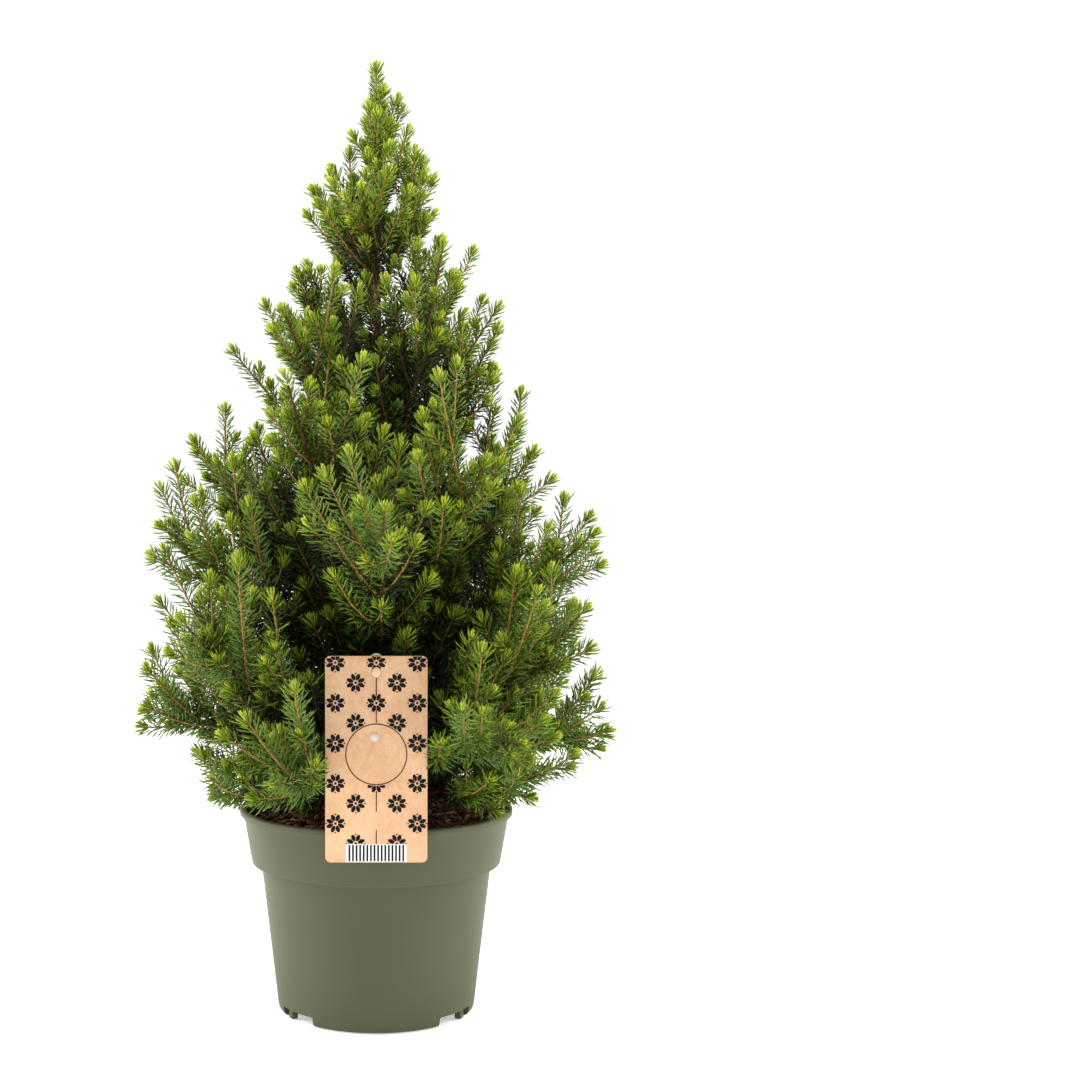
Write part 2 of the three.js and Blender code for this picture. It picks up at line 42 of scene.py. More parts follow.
# Sizes, in millimetres, as the solids have them. Only the pot's body is 1.6 wider here at its top, where the
# collar's underside is level, and the peg's head fills the hanging hole.
GAP = 0.3
POT = dict(rim=95.0, height=141.0, lip=5.0, overhang=2.8, collar=33.0, collar_foot=86.8, body=80.2,
           foot=68.5, round=4.0, wall=1.6, floor=2.2)
DRAIN = dict(angles=(37, 143, 217, 323), width=34.0, depth=17.0, height=7.0, skin=1.4, slot=4.0)
SOIL_EDGE = 130.0
CHIPS = dict(count=620, off_trunk=11.0)
TRUNK = dict(base=132.3, top=548.0, radius=8.2, tip=1.7, flare=4.2, flare_height=16.0, sway=2.2)
CROWN = dict(top=658.0, shoulder=345.0, shoulder_radius=155.0, skirt=205.0, skirt_radius=164.0,
             hem=141.0, hem_radius=100.0, over=3.0, dent=0.17, dent_height=385.0, dent_spread=30.0)
# Each whorl of boughs: its name, the foot's height, how many, the first one's turn in degrees, the tips'
# height, how far every other tip is above or below that, where the knee is as shares of reach and rise,
# the share of each bough that is a limb of its own, and how many main twigs it has.
WHORLS = (
    ("skirt", 144, 6, 30, 155, 0, (0.5, 1.2), 0.0, 5),
    ("low", 157, 6, 0, 194, 9, (0.5, 0.7), 0.24, 6),
    ("broad", 172, 6, 30, 262, 22, (0.54, 0.26), 0.22, 7),
    ("shoulder", 218, 5, 54, 342, 8, (0.52, 0.42), 0.22, 7),
    ("middle", 252, 5, 18, 412, 26, (0.5, 0.36), 0.22, 7),
    ("upper", 345, 4, 45, 503, 24, (0.5, 0.38), 0.0, 6),
    ("high", 496, 3, 256, 580, 16, (0.5, 0.3), 0.0, 5),
)
NOT_GROWN = ("skirt_5", "broad_5")
BOUGH = dict(least=0.8, girth=0.011, tip_jitter=8.0, reach_jitter=0.04, turn_jitter=6.0)
TWIG = dict(first=0.1, last=0.84, fork=38.0, lift=0.3, least=26.0, least_on_leader=15.0, most=88.0,
            tip=0.8, margin=5.0)
SEED = 4127
CARD = dict(width=66.0, height=134.0, thick=0.8, corner=3.5, foot=121.5, clear=0.5)
HANGING_HOLE = dict(radius=3.3, peg=3.15, height=244.6)
PICK = dict(width=9.4, thick=1.6, lean=7.2, head=1.5, buried=42.0, point=14.0)
STUD = dict(radius=1.5, head=2.9, side=-1.2, height=203.1)
CARD_FRONT = -(POT["rim"] + CARD["clear"] + CARD["thick"])
# How far shoots keep off the card at its sides, over it and behind it, and off the pot's rim.
ROOM = dict(beside=4.0, over=5.0, behind=17.0, rim=1.5)

# Finer growth than the solids have: spacings and lengths in millimetres, forks in degrees, the rest shares.
# Nothing leaves the leader above its clear height, and only shoots over some length have side shoots.
LEADER_CLEAR = 612.0
FORKS_FROM = dict(twig=22.0, trunk_shoot=34.0)
BARE_FOOT = dict(leader=0.0, bough=0.14, twig=0.03, shoot=0.04)
MORE_TWIGS = dict(apart=14.0, apart_high=25.0, high=(330.0, 530.0), first=0.22, last=0.93, fork=34.0,
                  fork_spread=14.0, lift=0.55, low_lift=0.3, low=230.0, least=13.0, margin=3.0,
                  off_boughs=7.0, on_leader=4)
SIDE_SHOOT = dict(fork=38.0, fork_spread=14.0, lift=0.36, least=5.0, margin=2.0, reach=0.93, missing=0.1,
                  newest=14.0, newest_low=34.0, low=(500.0, 340.0))
FROM_BOUGH = dict(start=0.35, apart=15.0, least=10.0, most=32.0)
FROM_LEADER = dict(start=0.05, apart=20.0, least=10.0, most=32.0)
FROM_TWIG = dict(start=0.14, apart=18.0, least=8.0, most=28.0)
FROM_TRUNK_SHOOT = dict(start=0.2, apart=17.0, least=8.0, most=18.0)
TRUNK_SHOOT = dict(lift=0.25, least=14.0, margin=2.0, off_boughs=4.0)
# Shoots from the trunk: lowest and highest foot, how far apart, their most length, how steeply they rise,
# the nearest and furthest tips as shares of the crown's radius, and the sector they grow in, in degrees.
TRUNK_SHOOTS = (
    (165, 400, 7, 42, 0.75, 0.9, 1.0, 0, 360),
    (178, 400, 9, 125, 0.9, 0.6, 0.88, 0, 360),
    (402, 546, 7.5, 78, 1.15, 0.8, 1.0, 0, 360),
    (160, 244, 5, 118, 0.95, 0.55, 0.85, 218, 104),
)
BARE_TRUNK = (455, 515)


# The rule that the plant grows by.
def seeded(seed):
    state = seed % 2147483647

    def draw():
        nonlocal state
        state = (state * 16807) % 2147483647
        return state / 2147483647

    return draw


def unit(v):
    return v / max(np.linalg.norm(v), 1e-9)


def share_between(value, start, end):
    """How far a value has come from start to end, as a share from 0 to 1."""
    return np.clip((value - start) / (end - start), 0, 1)


def crown_radius(z):
    z = np.asarray(z, float)
    c = CROWN
    cone = c["shoulder_radius"] * (c["top"] - z) / (c["top"] - c["shoulder"])
    share = (z - c["skirt"]) / (c["shoulder"] - c["skirt"])
    waist = c["skirt_radius"] + (c["shoulder_radius"] - c["skirt_radius"]) * share
    low = share_between(z, c["hem"], c["skirt"])
    hem = c["hem_radius"] + (c["skirt_radius"] - c["hem_radius"]) * np.sin(low * math.pi / 2)
    return np.where(z > c["shoulder"], cone, np.where(z > c["skirt"], waist, hem))


def outline(z, sideways):
    """The crown's radius towards one side: on the right it is dented above the shoulder."""
    nearness = np.exp(-((np.asarray(z) - CROWN["dent_height"]) / CROWN["dent_spread"]) ** 2)
    return crown_radius(z) * (1 - CROWN["dent"] * nearness * np.maximum(sideways, 0))


def trunk_centre(z):
    t = (z - TRUNK["base"]) / (TRUNK["top"] - TRUNK["base"])
    sway = TRUNK["sway"] * math.sin(math.pi * max(t, 0))
    return np.array([sway, -0.6 * sway * math.cos(5 * t), z])


def trunk_radius(z):
    t = max((z - TRUNK["base"]) / (TRUNK["top"] - TRUNK["base"]), 0)
    flare = TRUNK["flare"] * math.exp(-3 * (z - TRUNK["base"]) / TRUNK["flare_height"])
    return TRUNK["radius"] + (TRUNK["tip"] - TRUNK["radius"]) * t ** 0.8 + flare


def bezier(bend, t):
    """Points on a limb that leaves its foot, bends at its knee and ends at its tip."""
    foot, knee, tip = bend
    t = np.atleast_1d(t)[:, None]
    return (1 - t) ** 2 * foot + 2 * t * (1 - t) * knee + t * t * tip


def length_of(bend):
    path = bezier(bend, np.linspace(0, 1, 20))
    return float(np.linalg.norm(np.diff(path, axis=0), axis=1).sum())


def bough_lines():
    draw = seeded(SEED)
    lines = []
    for name, start_z, count, turn0, tip, stagger, bend, limb, twigs in WHORLS:
        for i in range(count):
            jitter = [2 * draw() - 1 for _ in range(3)]
            if f"{name}_{i + 1}" in NOT_GROWN:
                continue
            turn = math.radians(turn0 + 360 / count * i + BOUGH["turn_jitter"] * jitter[0])
            top = tip + (stagger if i % 2 else -stagger) + BOUGH["tip_jitter"] * jitter[2]
            reach = float(outline(top, math.cos(turn))) * (1 - BOUGH["reach_jitter"] * abs(jitter[1]))
            out = np.array([math.cos(turn), math.sin(turn), 0])
            foot = trunk_centre(start_z)
            knee = foot + out * reach * bend[0] + np.array([0, 0, (top - start_z) * bend[1]])
            end = np.array([out[0] * reach, out[1] * reach, top])
            lines.append(dict(name=f"{name}_{i + 1}", bend=(foot, knee, end), limb=limb, twigs=twigs))
    foot = trunk_centre(TRUNK["top"])
    end = np.array([0, 0, CROWN["top"] - 6.9])
    lines.append(dict(name="leader", bend=(foot, (foot + end) / 2, end), limb=0.0, twigs=8))
    return lines


def distances(points, path):
    """How far each point is from a path of straight steps."""
    a, b = path[:-1], path[1:]
    ab = b - a
    ap = points[:, None, :] - a[None]
    t = np.clip((ap * ab).sum(-1) / (ab * ab).sum(-1), 0, 1)
    return np.linalg.norm(ap - t[..., None] * ab, axis=-1).min(1)


def clearance(points, paths):
    """How far each point is from the nearest of some paths."""
    return np.min([distances(points, path) for path in paths], axis=0)


def in_the_open(points, margin, trunk_too=True, reach=1.0):
    """True for points inside the crown's outline, or a share of it, and clear of trunk, pot and card."""
    out = np.hypot(points[:, 0], points[:, 1])
    ok = out <= reach * outline(points[:, 2], points[:, 0] / np.maximum(out, 1e-6)) + CROWN["over"]
    if trunk_too:
        middle = np.array([trunk_centre(min(z, TRUNK["top"])) for z in points[:, 2]])
        sideways = np.hypot(points[:, 0] - middle[:, 0], points[:, 1] - middle[:, 1])
        sideways -= np.array([trunk_radius(z) for z in middle[:, 2]])
        above = np.maximum(points[:, 2] - TRUNK["top"], 0)
        ok &= np.hypot(np.maximum(sideways, 0), above) >= 1 + margin
    ok &= points[:, 2] >= POT["height"] + ROOM["rim"] + margin
    beside = np.abs(points[:, 0]) < CARD["width"] / 2 + ROOM["beside"]
    over = points[:, 2] > CARD["foot"] + CARD["height"] + ROOM["over"]
    ok &= ~(beside & ~over & (points[:, 1] < ROOM["behind"] - POT["rim"]))
    return ok


def heading_from(bend, t, roll, fork):
    """The way a twig leaves its stem: rolled round the stem from straight above, and forked from it."""
    ahead, behind = bezier(bend, min(t + 0.02, 1))[0], bezier(bend, t - 0.02)[0]
    along = unit(ahead - behind)
    above = np.array([0, 0, 1]) - along * along[2]
    above = unit(above) if np.linalg.norm(above) > 0.05 else np.array([1.0, 0, 0])
    side = above * math.cos(roll) + np.cross(along, above) * math.sin(roll)
    return along * math.cos(fork) + side * math.sin(fork)


def bent_twig(foot, heading, length, lift):
    tip = foot + heading * length + np.array([0, 0, length * lift])
    return foot, foot + heading * length * 0.5, tip


def ever_shorter(length, least, factor):
    while length > least:
        yield length
        length *= factor


def longest_that_fits(foot, heading, lengths, lift, places, fits, *limits):
    """The first twig of these lengths that fits at some places along it, in a list, or an empty list."""
    for length in lengths:
        bend = bent_twig(foot, heading, length, lift)
        if fits(bezier(bend, np.array(places)), *limits):
            return [bend]
    return []


def main_twigs(line, own, paths):
    """The twigs that the solids have too, by the same numbers."""
    draw = seeded(SEED + 97 * (own + 1))
    rolls = (95, -95, 15, 75, -75, 180, 40, -40)
    leader = line["name"] == "leader"
    least = TWIG["least_on_leader"] if leader else TWIG["least"]
    start = 0.15 if leader or not line["limb"] else line["limb"] + GAP / length_of(line["bend"])
    others = paths[:own] + paths[own + 1:]

    def fits(points):
        if not in_the_open(points, TWIG["margin"], not leader).all():
            return False
        return (clearance(points, others) - distances(points, paths[own]) > TWIG["margin"]).all()

    twigs = []
    for i in range(line["twigs"]):
        d = [draw() for _ in range(3)]
        share = TWIG["first"] + (TWIG["last"] - TWIG["first"]) * (i + 0.6 * d[0]) / line["twigs"]
        t = start + (1 - start) * share
        roll = math.radians(rolls[i % 8] + 30 * (d[1] - 0.5))
        heading = heading_from(line["bend"], t, roll, math.radians(TWIG["fork"]))
        lengths = ever_shorter(TWIG["most"] * (0.8 + 0.4 * d[2]), least, 0.88)
        twigs += longest_that_fits(bezier(line["bend"], t)[0], heading, lengths, TWIG["lift"],
                                   (0.3, 0.5, 0.7, 0.85, 1), fits)
    return twigs


def more_twigs(line, own, paths):
    """Long twigs between the main ones, by the same rule, which only keep off the other boughs."""
    draw = seeded(SEED + 53 * (own + 1) + 11)
    rolls = (60, -60, 125, -25, -110, 25, 90, -90, 150, 0)
    m = MORE_TWIGS
    leader = line["name"] == "leader"
    top = line["bend"][2][2]
    low = top < m["low"]
    whole = length_of(line["bend"])
    start = 0.05 if leader else max(line["limb"], m["first"])
    apart = m["apart"] + (m["apart_high"] - m["apart"]) * share_between(top, *m["high"])
    count = m["on_leader"] if leader else round((1 - start) * whole / apart)
    others = paths[:own] + paths[own + 1:]

    def fits(points, reach):
        inside = in_the_open(points, m["margin"], not leader, reach).all()
        return inside and (clearance(points, others) > m["off_boughs"]).all()

    twigs = []
    for i in range(count):
        d = [draw() for _ in range(5)]
        t = start + (m["last"] - start) * (i + 0.7 * d[0]) / count
        reach = 1.0 if leader or d[4] < 0.14 else 0.8 + 0.2 * d[4] if low else 0.66 + 0.24 * d[4]
        roll = math.radians(rolls[(i + own) % 10] + 30 * (d[1] - 0.5))
        heading = heading_from(line["bend"], t, roll, math.radians(m["fork"] + m["fork_spread"] * d[3]))
        most = min(TWIG["most"] * (0.62 + 0.4 * d[2]), 18 + whole * (1 - t) * 0.9)
        twigs += longest_that_fits(bezier(line["bend"], t)[0], heading, ever_shorter(most, m["least"], 0.85),
                                   m["low_lift" if low else "lift"], (0.35, 0.6, 0.8, 1), fits, reach)
    return twigs


def side_shoots(bend, number, start, apart, least, most):
    """Short shoots in turn on all sides of a twig. Its newest growth, longer low in the crown, has none."""
    draw = seeded(SEED + 31 * number + 7)
    rolls = (80, -80, 20, 110, -110, 165, 50, -50)
    s = SIDE_SHOOT
    whole = length_of(bend)
    newest = s["newest"] + (s["newest_low"] - s["newest"]) * share_between(bend[2][2], *s["low"])
    end = 1 - max(min(newest, 0.5 * whole), 9.0) / whole
    count = round((end - start) * whole / apart)

    def fits(points):
        return in_the_open(points, s["margin"], True, s["reach"]).all()

    made = []
    for i in range(count):
        d = [draw() for _ in range(5)]
        if d[4] < s["missing"]:
            continue
        t = start + (end - start) * (i + 0.7 * d[0]) / count
        length = float(np.clip(whole * (1 - t) * 0.4 + 1, least, most)) * (0.7 + 0.55 * d[1])
        roll = math.radians(rolls[(i + number) % 8] + 44 * (d[2] - 0.5))
        heading = heading_from(bend, max(t, 0.03), roll, math.radians(s["fork"] + s["fork_spread"] * d[3]))
        lengths = [length * share for share in (1, 0.7, 0.5) if length * share > s["least"]]
        made += longest_that_fits(bezier(bend, t)[0], heading, lengths, s["lift"], (0.6, 1), fits)
    return made


def trunk_shoots(paths):
    """Shoots straight from the trunk that fill the spaces between boughs, but bare in front below the top."""
    draw = seeded(SEED + 5)
    s = TRUNK_SHOOT
    feet = [(height, row) for row in TRUNK_SHOOTS for height in np.arange(*row[:3])]

    def fits(points, reach):
        inside = in_the_open(points, s["margin"], True, reach).all()
        return inside and clearance(points, paths).min() > s["off_boughs"]

    made = []
    for i, (height, (_, _, _, most, rise, nearest, furthest, first, sector)) in enumerate(feet):
        d = [draw() for _ in range(3)]
        turn = math.radians(first + (137.5 * i + 30 * d[1]) % sector)
        if BARE_TRUNK[0] < height < BARE_TRUNK[1] and math.sin(turn) < -0.35:
            continue
        out = np.array([math.cos(turn), math.sin(turn), rise])
        foot = trunk_centre(height) + out * (1, 1, 0) * trunk_radius(height) * 0.7
        reach = nearest + (furthest - nearest) * d[2]
        lengths = ever_shorter(most * (0.65 + 0.35 * d[0]), s["least"], 0.93)
        made += longest_that_fits(foot, unit(out), lengths, s["lift"], (0.4, 0.6, 0.8, 1), fits, reach)
    return made


def grow():
    """The boughs' lines, and every shoot: its bend, how much of it is bare, and whether it is a limb."""
    lines = bough_lines()
    paths = [bezier(line["bend"], np.linspace(0, 1, 14)) for line in lines]
    shoots = []
    number = 0
    for own, line in enumerate(lines):
        leader = line["name"] == "leader"
        shoots.append(dict(bend=line["bend"], bare=BARE_FOOT["leader" if leader else "bough"],
                           limb=not leader))
        long_ones = main_twigs(line, own, paths) + more_twigs(line, own, paths)
        short_ones = side_shoots(line["bend"], number, **(FROM_LEADER if leader else FROM_BOUGH))
        if leader:
            long_ones = [bend for bend in long_ones if bend[0][2] < LEADER_CLEAR]
            short_ones = [bend for bend in short_ones if bend[0][2] < LEADER_CLEAR]
        number += 1
        for bend in long_ones:
            number += 1
            if length_of(bend) > FORKS_FROM["twig"]:
                short_ones += side_shoots(bend, number, **FROM_TWIG)
        shoots += [dict(bend=bend, bare=BARE_FOOT["twig"], limb=False) for bend in long_ones]
        shoots += [dict(bend=bend, bare=BARE_FOOT["shoot"], limb=False) for bend in short_ones]
    for bend in trunk_shoots(paths):
        number += 1
        forks = length_of(bend) > FORKS_FROM["trunk_shoot"]
        short_ones = side_shoots(bend, number, **FROM_TRUNK_SHOOT) if forks else []
        shoots += [dict(bend=each, bare=BARE_FOOT["shoot"], limb=False) for each in [bend, *short_ones]]
    return lines, shoots


# Finishes.
class Finish:
    """A material in the making: one plastic-like surface, with noises in the piece's own space."""

    def __init__(self, name, roughness, specular):
        self.material = bpy.data.materials.new(name)
        self.material.use_nodes = True
        self.nodes, self.links = self.material.node_tree.nodes, self.material.node_tree.links
        self.surface = self.nodes["Principled BSDF"]
        self.surface.inputs["Roughness"].default_value = roughness
        self.surface.inputs["Specular IOR Level"].default_value = specular
        self.place = self.nodes.new("ShaderNodeTexCoord").outputs["Object"]

    def noise(self, scale, detail, rough, stretch=None):
        texture = self.nodes.new("ShaderNodeTexNoise")
        texture.inputs["Scale"].default_value = scale
        texture.inputs["Detail"].default_value = detail
        texture.inputs["Roughness"].default_value = rough
        place = self.place
        if stretch:
            mapping = self.nodes.new("ShaderNodeMapping")
            mapping.inputs["Scale"].default_value = stretch
            self.links.new(place, mapping.inputs["Vector"])
            place = mapping.outputs["Vector"]
        self.links.new(place, texture.inputs["Vector"])
        return texture.outputs["Fac"]

    def colour(self, fac, *stops):
        ramp = self.nodes.new("ShaderNodeValToRGB")
        elements = ramp.color_ramp.elements
        while len(elements) < len(stops):
            elements.new(0.5)
        for element, (place, shade) in zip(elements, stops):
            element.position = place
            element.color = (*shade, 1)
        self.links.new(fac, ramp.inputs["Fac"])
        self.links.new(ramp.outputs["Color"], self.surface.inputs["Base Color"])

    def bump(self, height, strength, distance):
        relief = self.nodes.new("ShaderNodeBump")
        relief.inputs["Strength"].default_value = strength
        relief.inputs["Distance"].default_value = distance
        self.links.new(height, relief.inputs["Height"])
        self.links.new(relief.outputs["Normal"], self.surface.inputs["Normal"])


def srgb(*channels):
    shares = [channel / 255 for channel in channels]
    return tuple(c / 12.92 if c <= 0.04045 else ((c + 0.055) / 1.055) ** 2.4 for c in shares)


def needle_finish(name, dark, light):
    needle = Finish(name, 0.52, 0.18)
    needle.colour(needle.noise(190, 3, 0.55), (0.3, dark), (0.7, light))
    return needle.material


def bark_finish(name, dark, light, scale, relief):
    bark = Finish(name, 0.78, 0.3)
    ridges = bark.noise(scale, 8, 0.7, stretch=(1, 1, 0.35))
    between = tuple((a + b) / 2 for a, b in zip(dark, light))
    bark.colour(ridges, (0.34, dark), (0.5, between), (0.7, light))
    bark.bump(ridges, 0.7, relief)
    return bark.material


def pot_finish():
    pot = Finish("sage_green_plastic", 0.5, 0.1)
    pot.colour(pot.noise(9, 5, 0.6), (0.25, srgb(77, 79, 59)), (0.75, srgb(83, 85, 64)))
    pot.bump(pot.noise(900, 3, 0.6), 0.12, 0.0002)
    rough = pot.nodes.new("ShaderNodeMapRange")
    rough.inputs["To Min"].default_value = 0.46
    rough.inputs["To Max"].default_value = 0.6
    pot.links.new(pot.noise(40, 4, 0.6), rough.inputs["Value"])
    pot.links.new(rough.outputs["Result"], pot.surface.inputs["Roughness"])
    return pot.material


def mulch_finish(name, dark, light):
    flake = Finish(name, 0.82, 0.35)
    grain = flake.noise(420, 6, 0.7, stretch=(1, 1, 1.6))
    flake.colour(grain, (0.3, dark), (0.68, light))
    flake.bump(grain, 0.8, 0.0006)
    return flake.material


def card_finish():
    card = Finish("kraft_card", 0.82, 0.3)
    fibres = card.noise(420, 6, 0.65, stretch=(1, 1, 0.75))
    both = card.nodes.new("ShaderNodeMix")
    both.inputs["Factor"].default_value = 0.5
    card.links.new(fibres, both.inputs["A"])
    card.links.new(card.noise(30, 3, 0.5), both.inputs["B"])
    card.colour(both.outputs["Result"], (0.36, srgb(202, 159, 121)), (0.5, srgb(213, 170, 132)),
                (0.62, srgb(222, 182, 146)))
    card.bump(fibres, 0.12, 0.0002)
    return card.material


def ink_finish(name, dark, light):
    ink = Finish(name, 0.6, 0.12)
    ink.colour(ink.noise(700, 4, 0.6), (0.3, dark), (0.75, light))
    return ink.material


def plastic_finish(name, dark, light, roughness):
    plastic = Finish(name, roughness, 0.5)
    plastic.colour(plastic.noise(60, 3, 0.5), (0.3, dark), (0.7, light))
    plastic.bump(plastic.noise(1200, 2, 0.5), 0.08, 0.0001)
    return plastic.material


# Making and finishing pieces.
def link(thing):
    bpy.context.scene.collection.objects.link(thing)


def pick_out(piece, *others):
    """Selects these pieces alone and makes the first one the active one."""
    bpy.ops.object.select_all(action="DESELECT")
    for each in (piece, *others):
        each.select_set(True)
    bpy.context.view_layer.objects.active = piece


@contextmanager
def editing(everything=True):
    """Edit mode on the active piece, with all of it selected at first, or what was picked before."""
    bpy.ops.object.mode_set(mode="EDIT")
    if everything:
        bpy.ops.mesh.select_all(action="SELECT")
    yield
    bpy.ops.object.mode_set(mode="OBJECT")


def draw_out(x, y, z):
    """Extrudes what is selected by some millimetres."""
    bpy.ops.mesh.extrude_region_move(TRANSFORM_OT_translate={"value": (x * MM, y * MM, z * MM)})


def face_outwards():
    bpy.ops.mesh.select_all(action="SELECT")
    bpy.ops.mesh.normals_make_consistent(inside=False)


def unpick_all(mode):
    """Leaves nothing selected in the mesh, so that a test can pick corners or faces outside edit mode."""
    with editing():
        bpy.ops.mesh.select_mode(type=mode)
        bpy.ops.mesh.select_all(action="DESELECT")


def own_up(piece, name, material, slot, *nodes, smooth_to=None):
    """Names a finished piece, gives it its finish, hangs it from the root and hides the solids that it stands
    for; its slot is not used.
    """
    if smooth_to:
        smooth(piece, smooth_to)
    piece.name = piece.data.name = name
    piece.data.materials.clear()
    piece.data.materials.append(material)
    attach(piece, "root")
    if nodes:
        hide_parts(*nodes)


def nodes_of(kind):
    return [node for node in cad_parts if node.startswith(kind)]


def settle(piece):
    """Puts the piece's place into its mesh, with the object at the origin."""
    pick_out(piece)
    bpy.ops.object.transform_apply(location=True, rotation=True, scale=True)


def primitive(add, place, turned=(0, 0, 0), scale=(1, 1, 1), **shape):
    """One of Blender's own meshes, settled at a place in millimetres."""
    add(location=[c * MM for c in place], rotation=turned, **shape)
    piece = bpy.context.object
    piece.scale = scale
    settle(piece)
    return piece


def apply_all(piece):
    pick_out(piece)
    for modifier in list(piece.modifiers):
        bpy.ops.object.modifier_apply(modifier=modifier.name)


def from_arrays(name, points, triangles):
    mesh = bpy.data.meshes.new(name)
    mesh.vertices.add(len(points))
    mesh.vertices.foreach_set("co", np.ascontiguousarray(points * MM, dtype=np.float32).ravel())
    mesh.loops.add(3 * len(triangles))
    mesh.loops.foreach_set("vertex_index", np.ascontiguousarray(triangles, dtype=np.int32).ravel())
    mesh.polygons.add(len(triangles))
    mesh.polygons.foreach_set("loop_start", np.arange(0, 3 * len(triangles), 3, dtype=np.int32))
    mesh.update(calc_edges=True)
    mesh.validate()
    piece = bpy.data.objects.new(name, mesh)
    link(piece)
    return piece


def spun(profile):
    """A disc whose edge is drawn out along a profile of radius and height and closed at its end."""
    radius, height = profile[0]
    piece = primitive(bpy.ops.mesh.primitive_circle_add, (0, 0, height), vertices=128, radius=radius * MM,
                      fill_type="NGON")
    with editing():
        bpy.ops.mesh.select_mode(type="EDGE")
        bpy.ops.mesh.select_all(action="DESELECT")
        bpy.ops.mesh.select_non_manifold()
        for (r0, z0), (r1, z1) in zip(profile, profile[1:]):
            bpy.ops.mesh.extrude_edges_move(TRANSFORM_OT_translate={"value": (0, 0, (z1 - z0) * MM)})
            k = r1 / r0
            bpy.ops.transform.resize(value=(k, k, 1), center_override=(0, 0, z1 * MM))
        bpy.ops.mesh.edge_face_add()
        face_outwards()
    return piece


def arc(across, height, radius, start, end, steps):
    turns = [math.radians(start + (end - start) * i / steps) for i in range(steps + 1)]
    return [(across + radius * math.cos(turn), height + radius * math.sin(turn)) for turn in turns]


def smooth(piece, degrees):
    pick_out(piece)
    bpy.ops.object.shade_smooth_by_angle(angle=math.radians(degrees))


def soften(piece, width, segments):
    """Bevels a piece's sharp edges."""
    bevel = piece.modifiers.new("soft edges", "BEVEL")
    bevel.width, bevel.segments, bevel.limit_method = width * MM, segments, "ANGLE"
    apply_all(piece)


def roughen(piece, grain, detail, relief, level):
    """Raises and sinks a piece's surface by a cloudy noise."""
    clouds = bpy.data.textures.new("clouds", "CLOUDS")
    clouds.noise_scale, clouds.noise_depth = grain * MM, detail
    rough = piece.modifiers.new("relief", "DISPLACE")
    rough.texture, rough.texture_coords = clouds, "LOCAL"
    rough.strength, rough.mid_level = relief * MM, level
    apply_all(piece)


def joined(pieces):
    pick_out(*pieces)
    bpy.ops.object.join()
    return bpy.context.object


def cut(piece, cutter, operation="DIFFERENCE"):
    boolean = piece.modifiers.new("cut", "BOOLEAN")
    boolean.operation, boolean.solver, boolean.object = operation, "EXACT", cutter
    apply_all(piece)
    bpy.data.objects.remove(cutter, do_unlink=True)


# Pot.
def rounded_block(reach, angle, size, foot, rounding, segments):
    """A block with soft edges, at some reach from the pot's axis and turned to face it."""
    turn = math.radians(angle)
    place = (reach * math.cos(turn), reach * math.sin(turn), foot + size[2] / 2)
    block = primitive(bpy.ops.mesh.primitive_cube_add, place, (0, 0, turn), [side * MM for side in size],
                      size=1)
    soften(block, rounding, segments)
    return block


def drain_block(angle, width, depth, foot, top, rounding):
    """A block that goes into the pot's foot by some depth and stands out of it."""
    outside = 12
    reach = POT["foot"] + (outside - depth) / 2
    return rounded_block(reach, angle, (depth + outside, width, top - foot), foot, rounding, 3)


def add_drain(pot, angle):
    """An opening at the foot, in a thin housing, with a slot behind it and a post in its outer half."""
    d, foot = DRAIN, POT["foot"]
    top = d["height"] + d["skin"]
    housing = drain_block(angle, d["width"] + 2 * d["skin"], d["depth"] + d["skin"], 0.5, top, 0.8)
    edge = arc(foot - POT["round"], POT["round"], POT["round"] - 0.02, -90, -6, 5)
    cut(housing, spun([(30, 0), *edge, (foot + 1.2, 20)]), "INTERSECT")
    cut(pot, housing, "UNION")
    cut(pot, drain_block(angle, d["width"], d["depth"], -1, d["height"], 0.9))
    cut(pot, drain_block(angle, 0.6 * d["width"], d["depth"] + 4, d["height"] - d["slot"], d["height"], 0.4))
    turn = math.radians(angle)
    aside = -7.2 if math.cos(turn) * math.sin(turn) > 0 else 7.2
    cut(pot, rounded_block(foot - 3.4, angle + aside, (4.6, 5.2, 7.6), 0.3, 0.7, 2), "UNION")


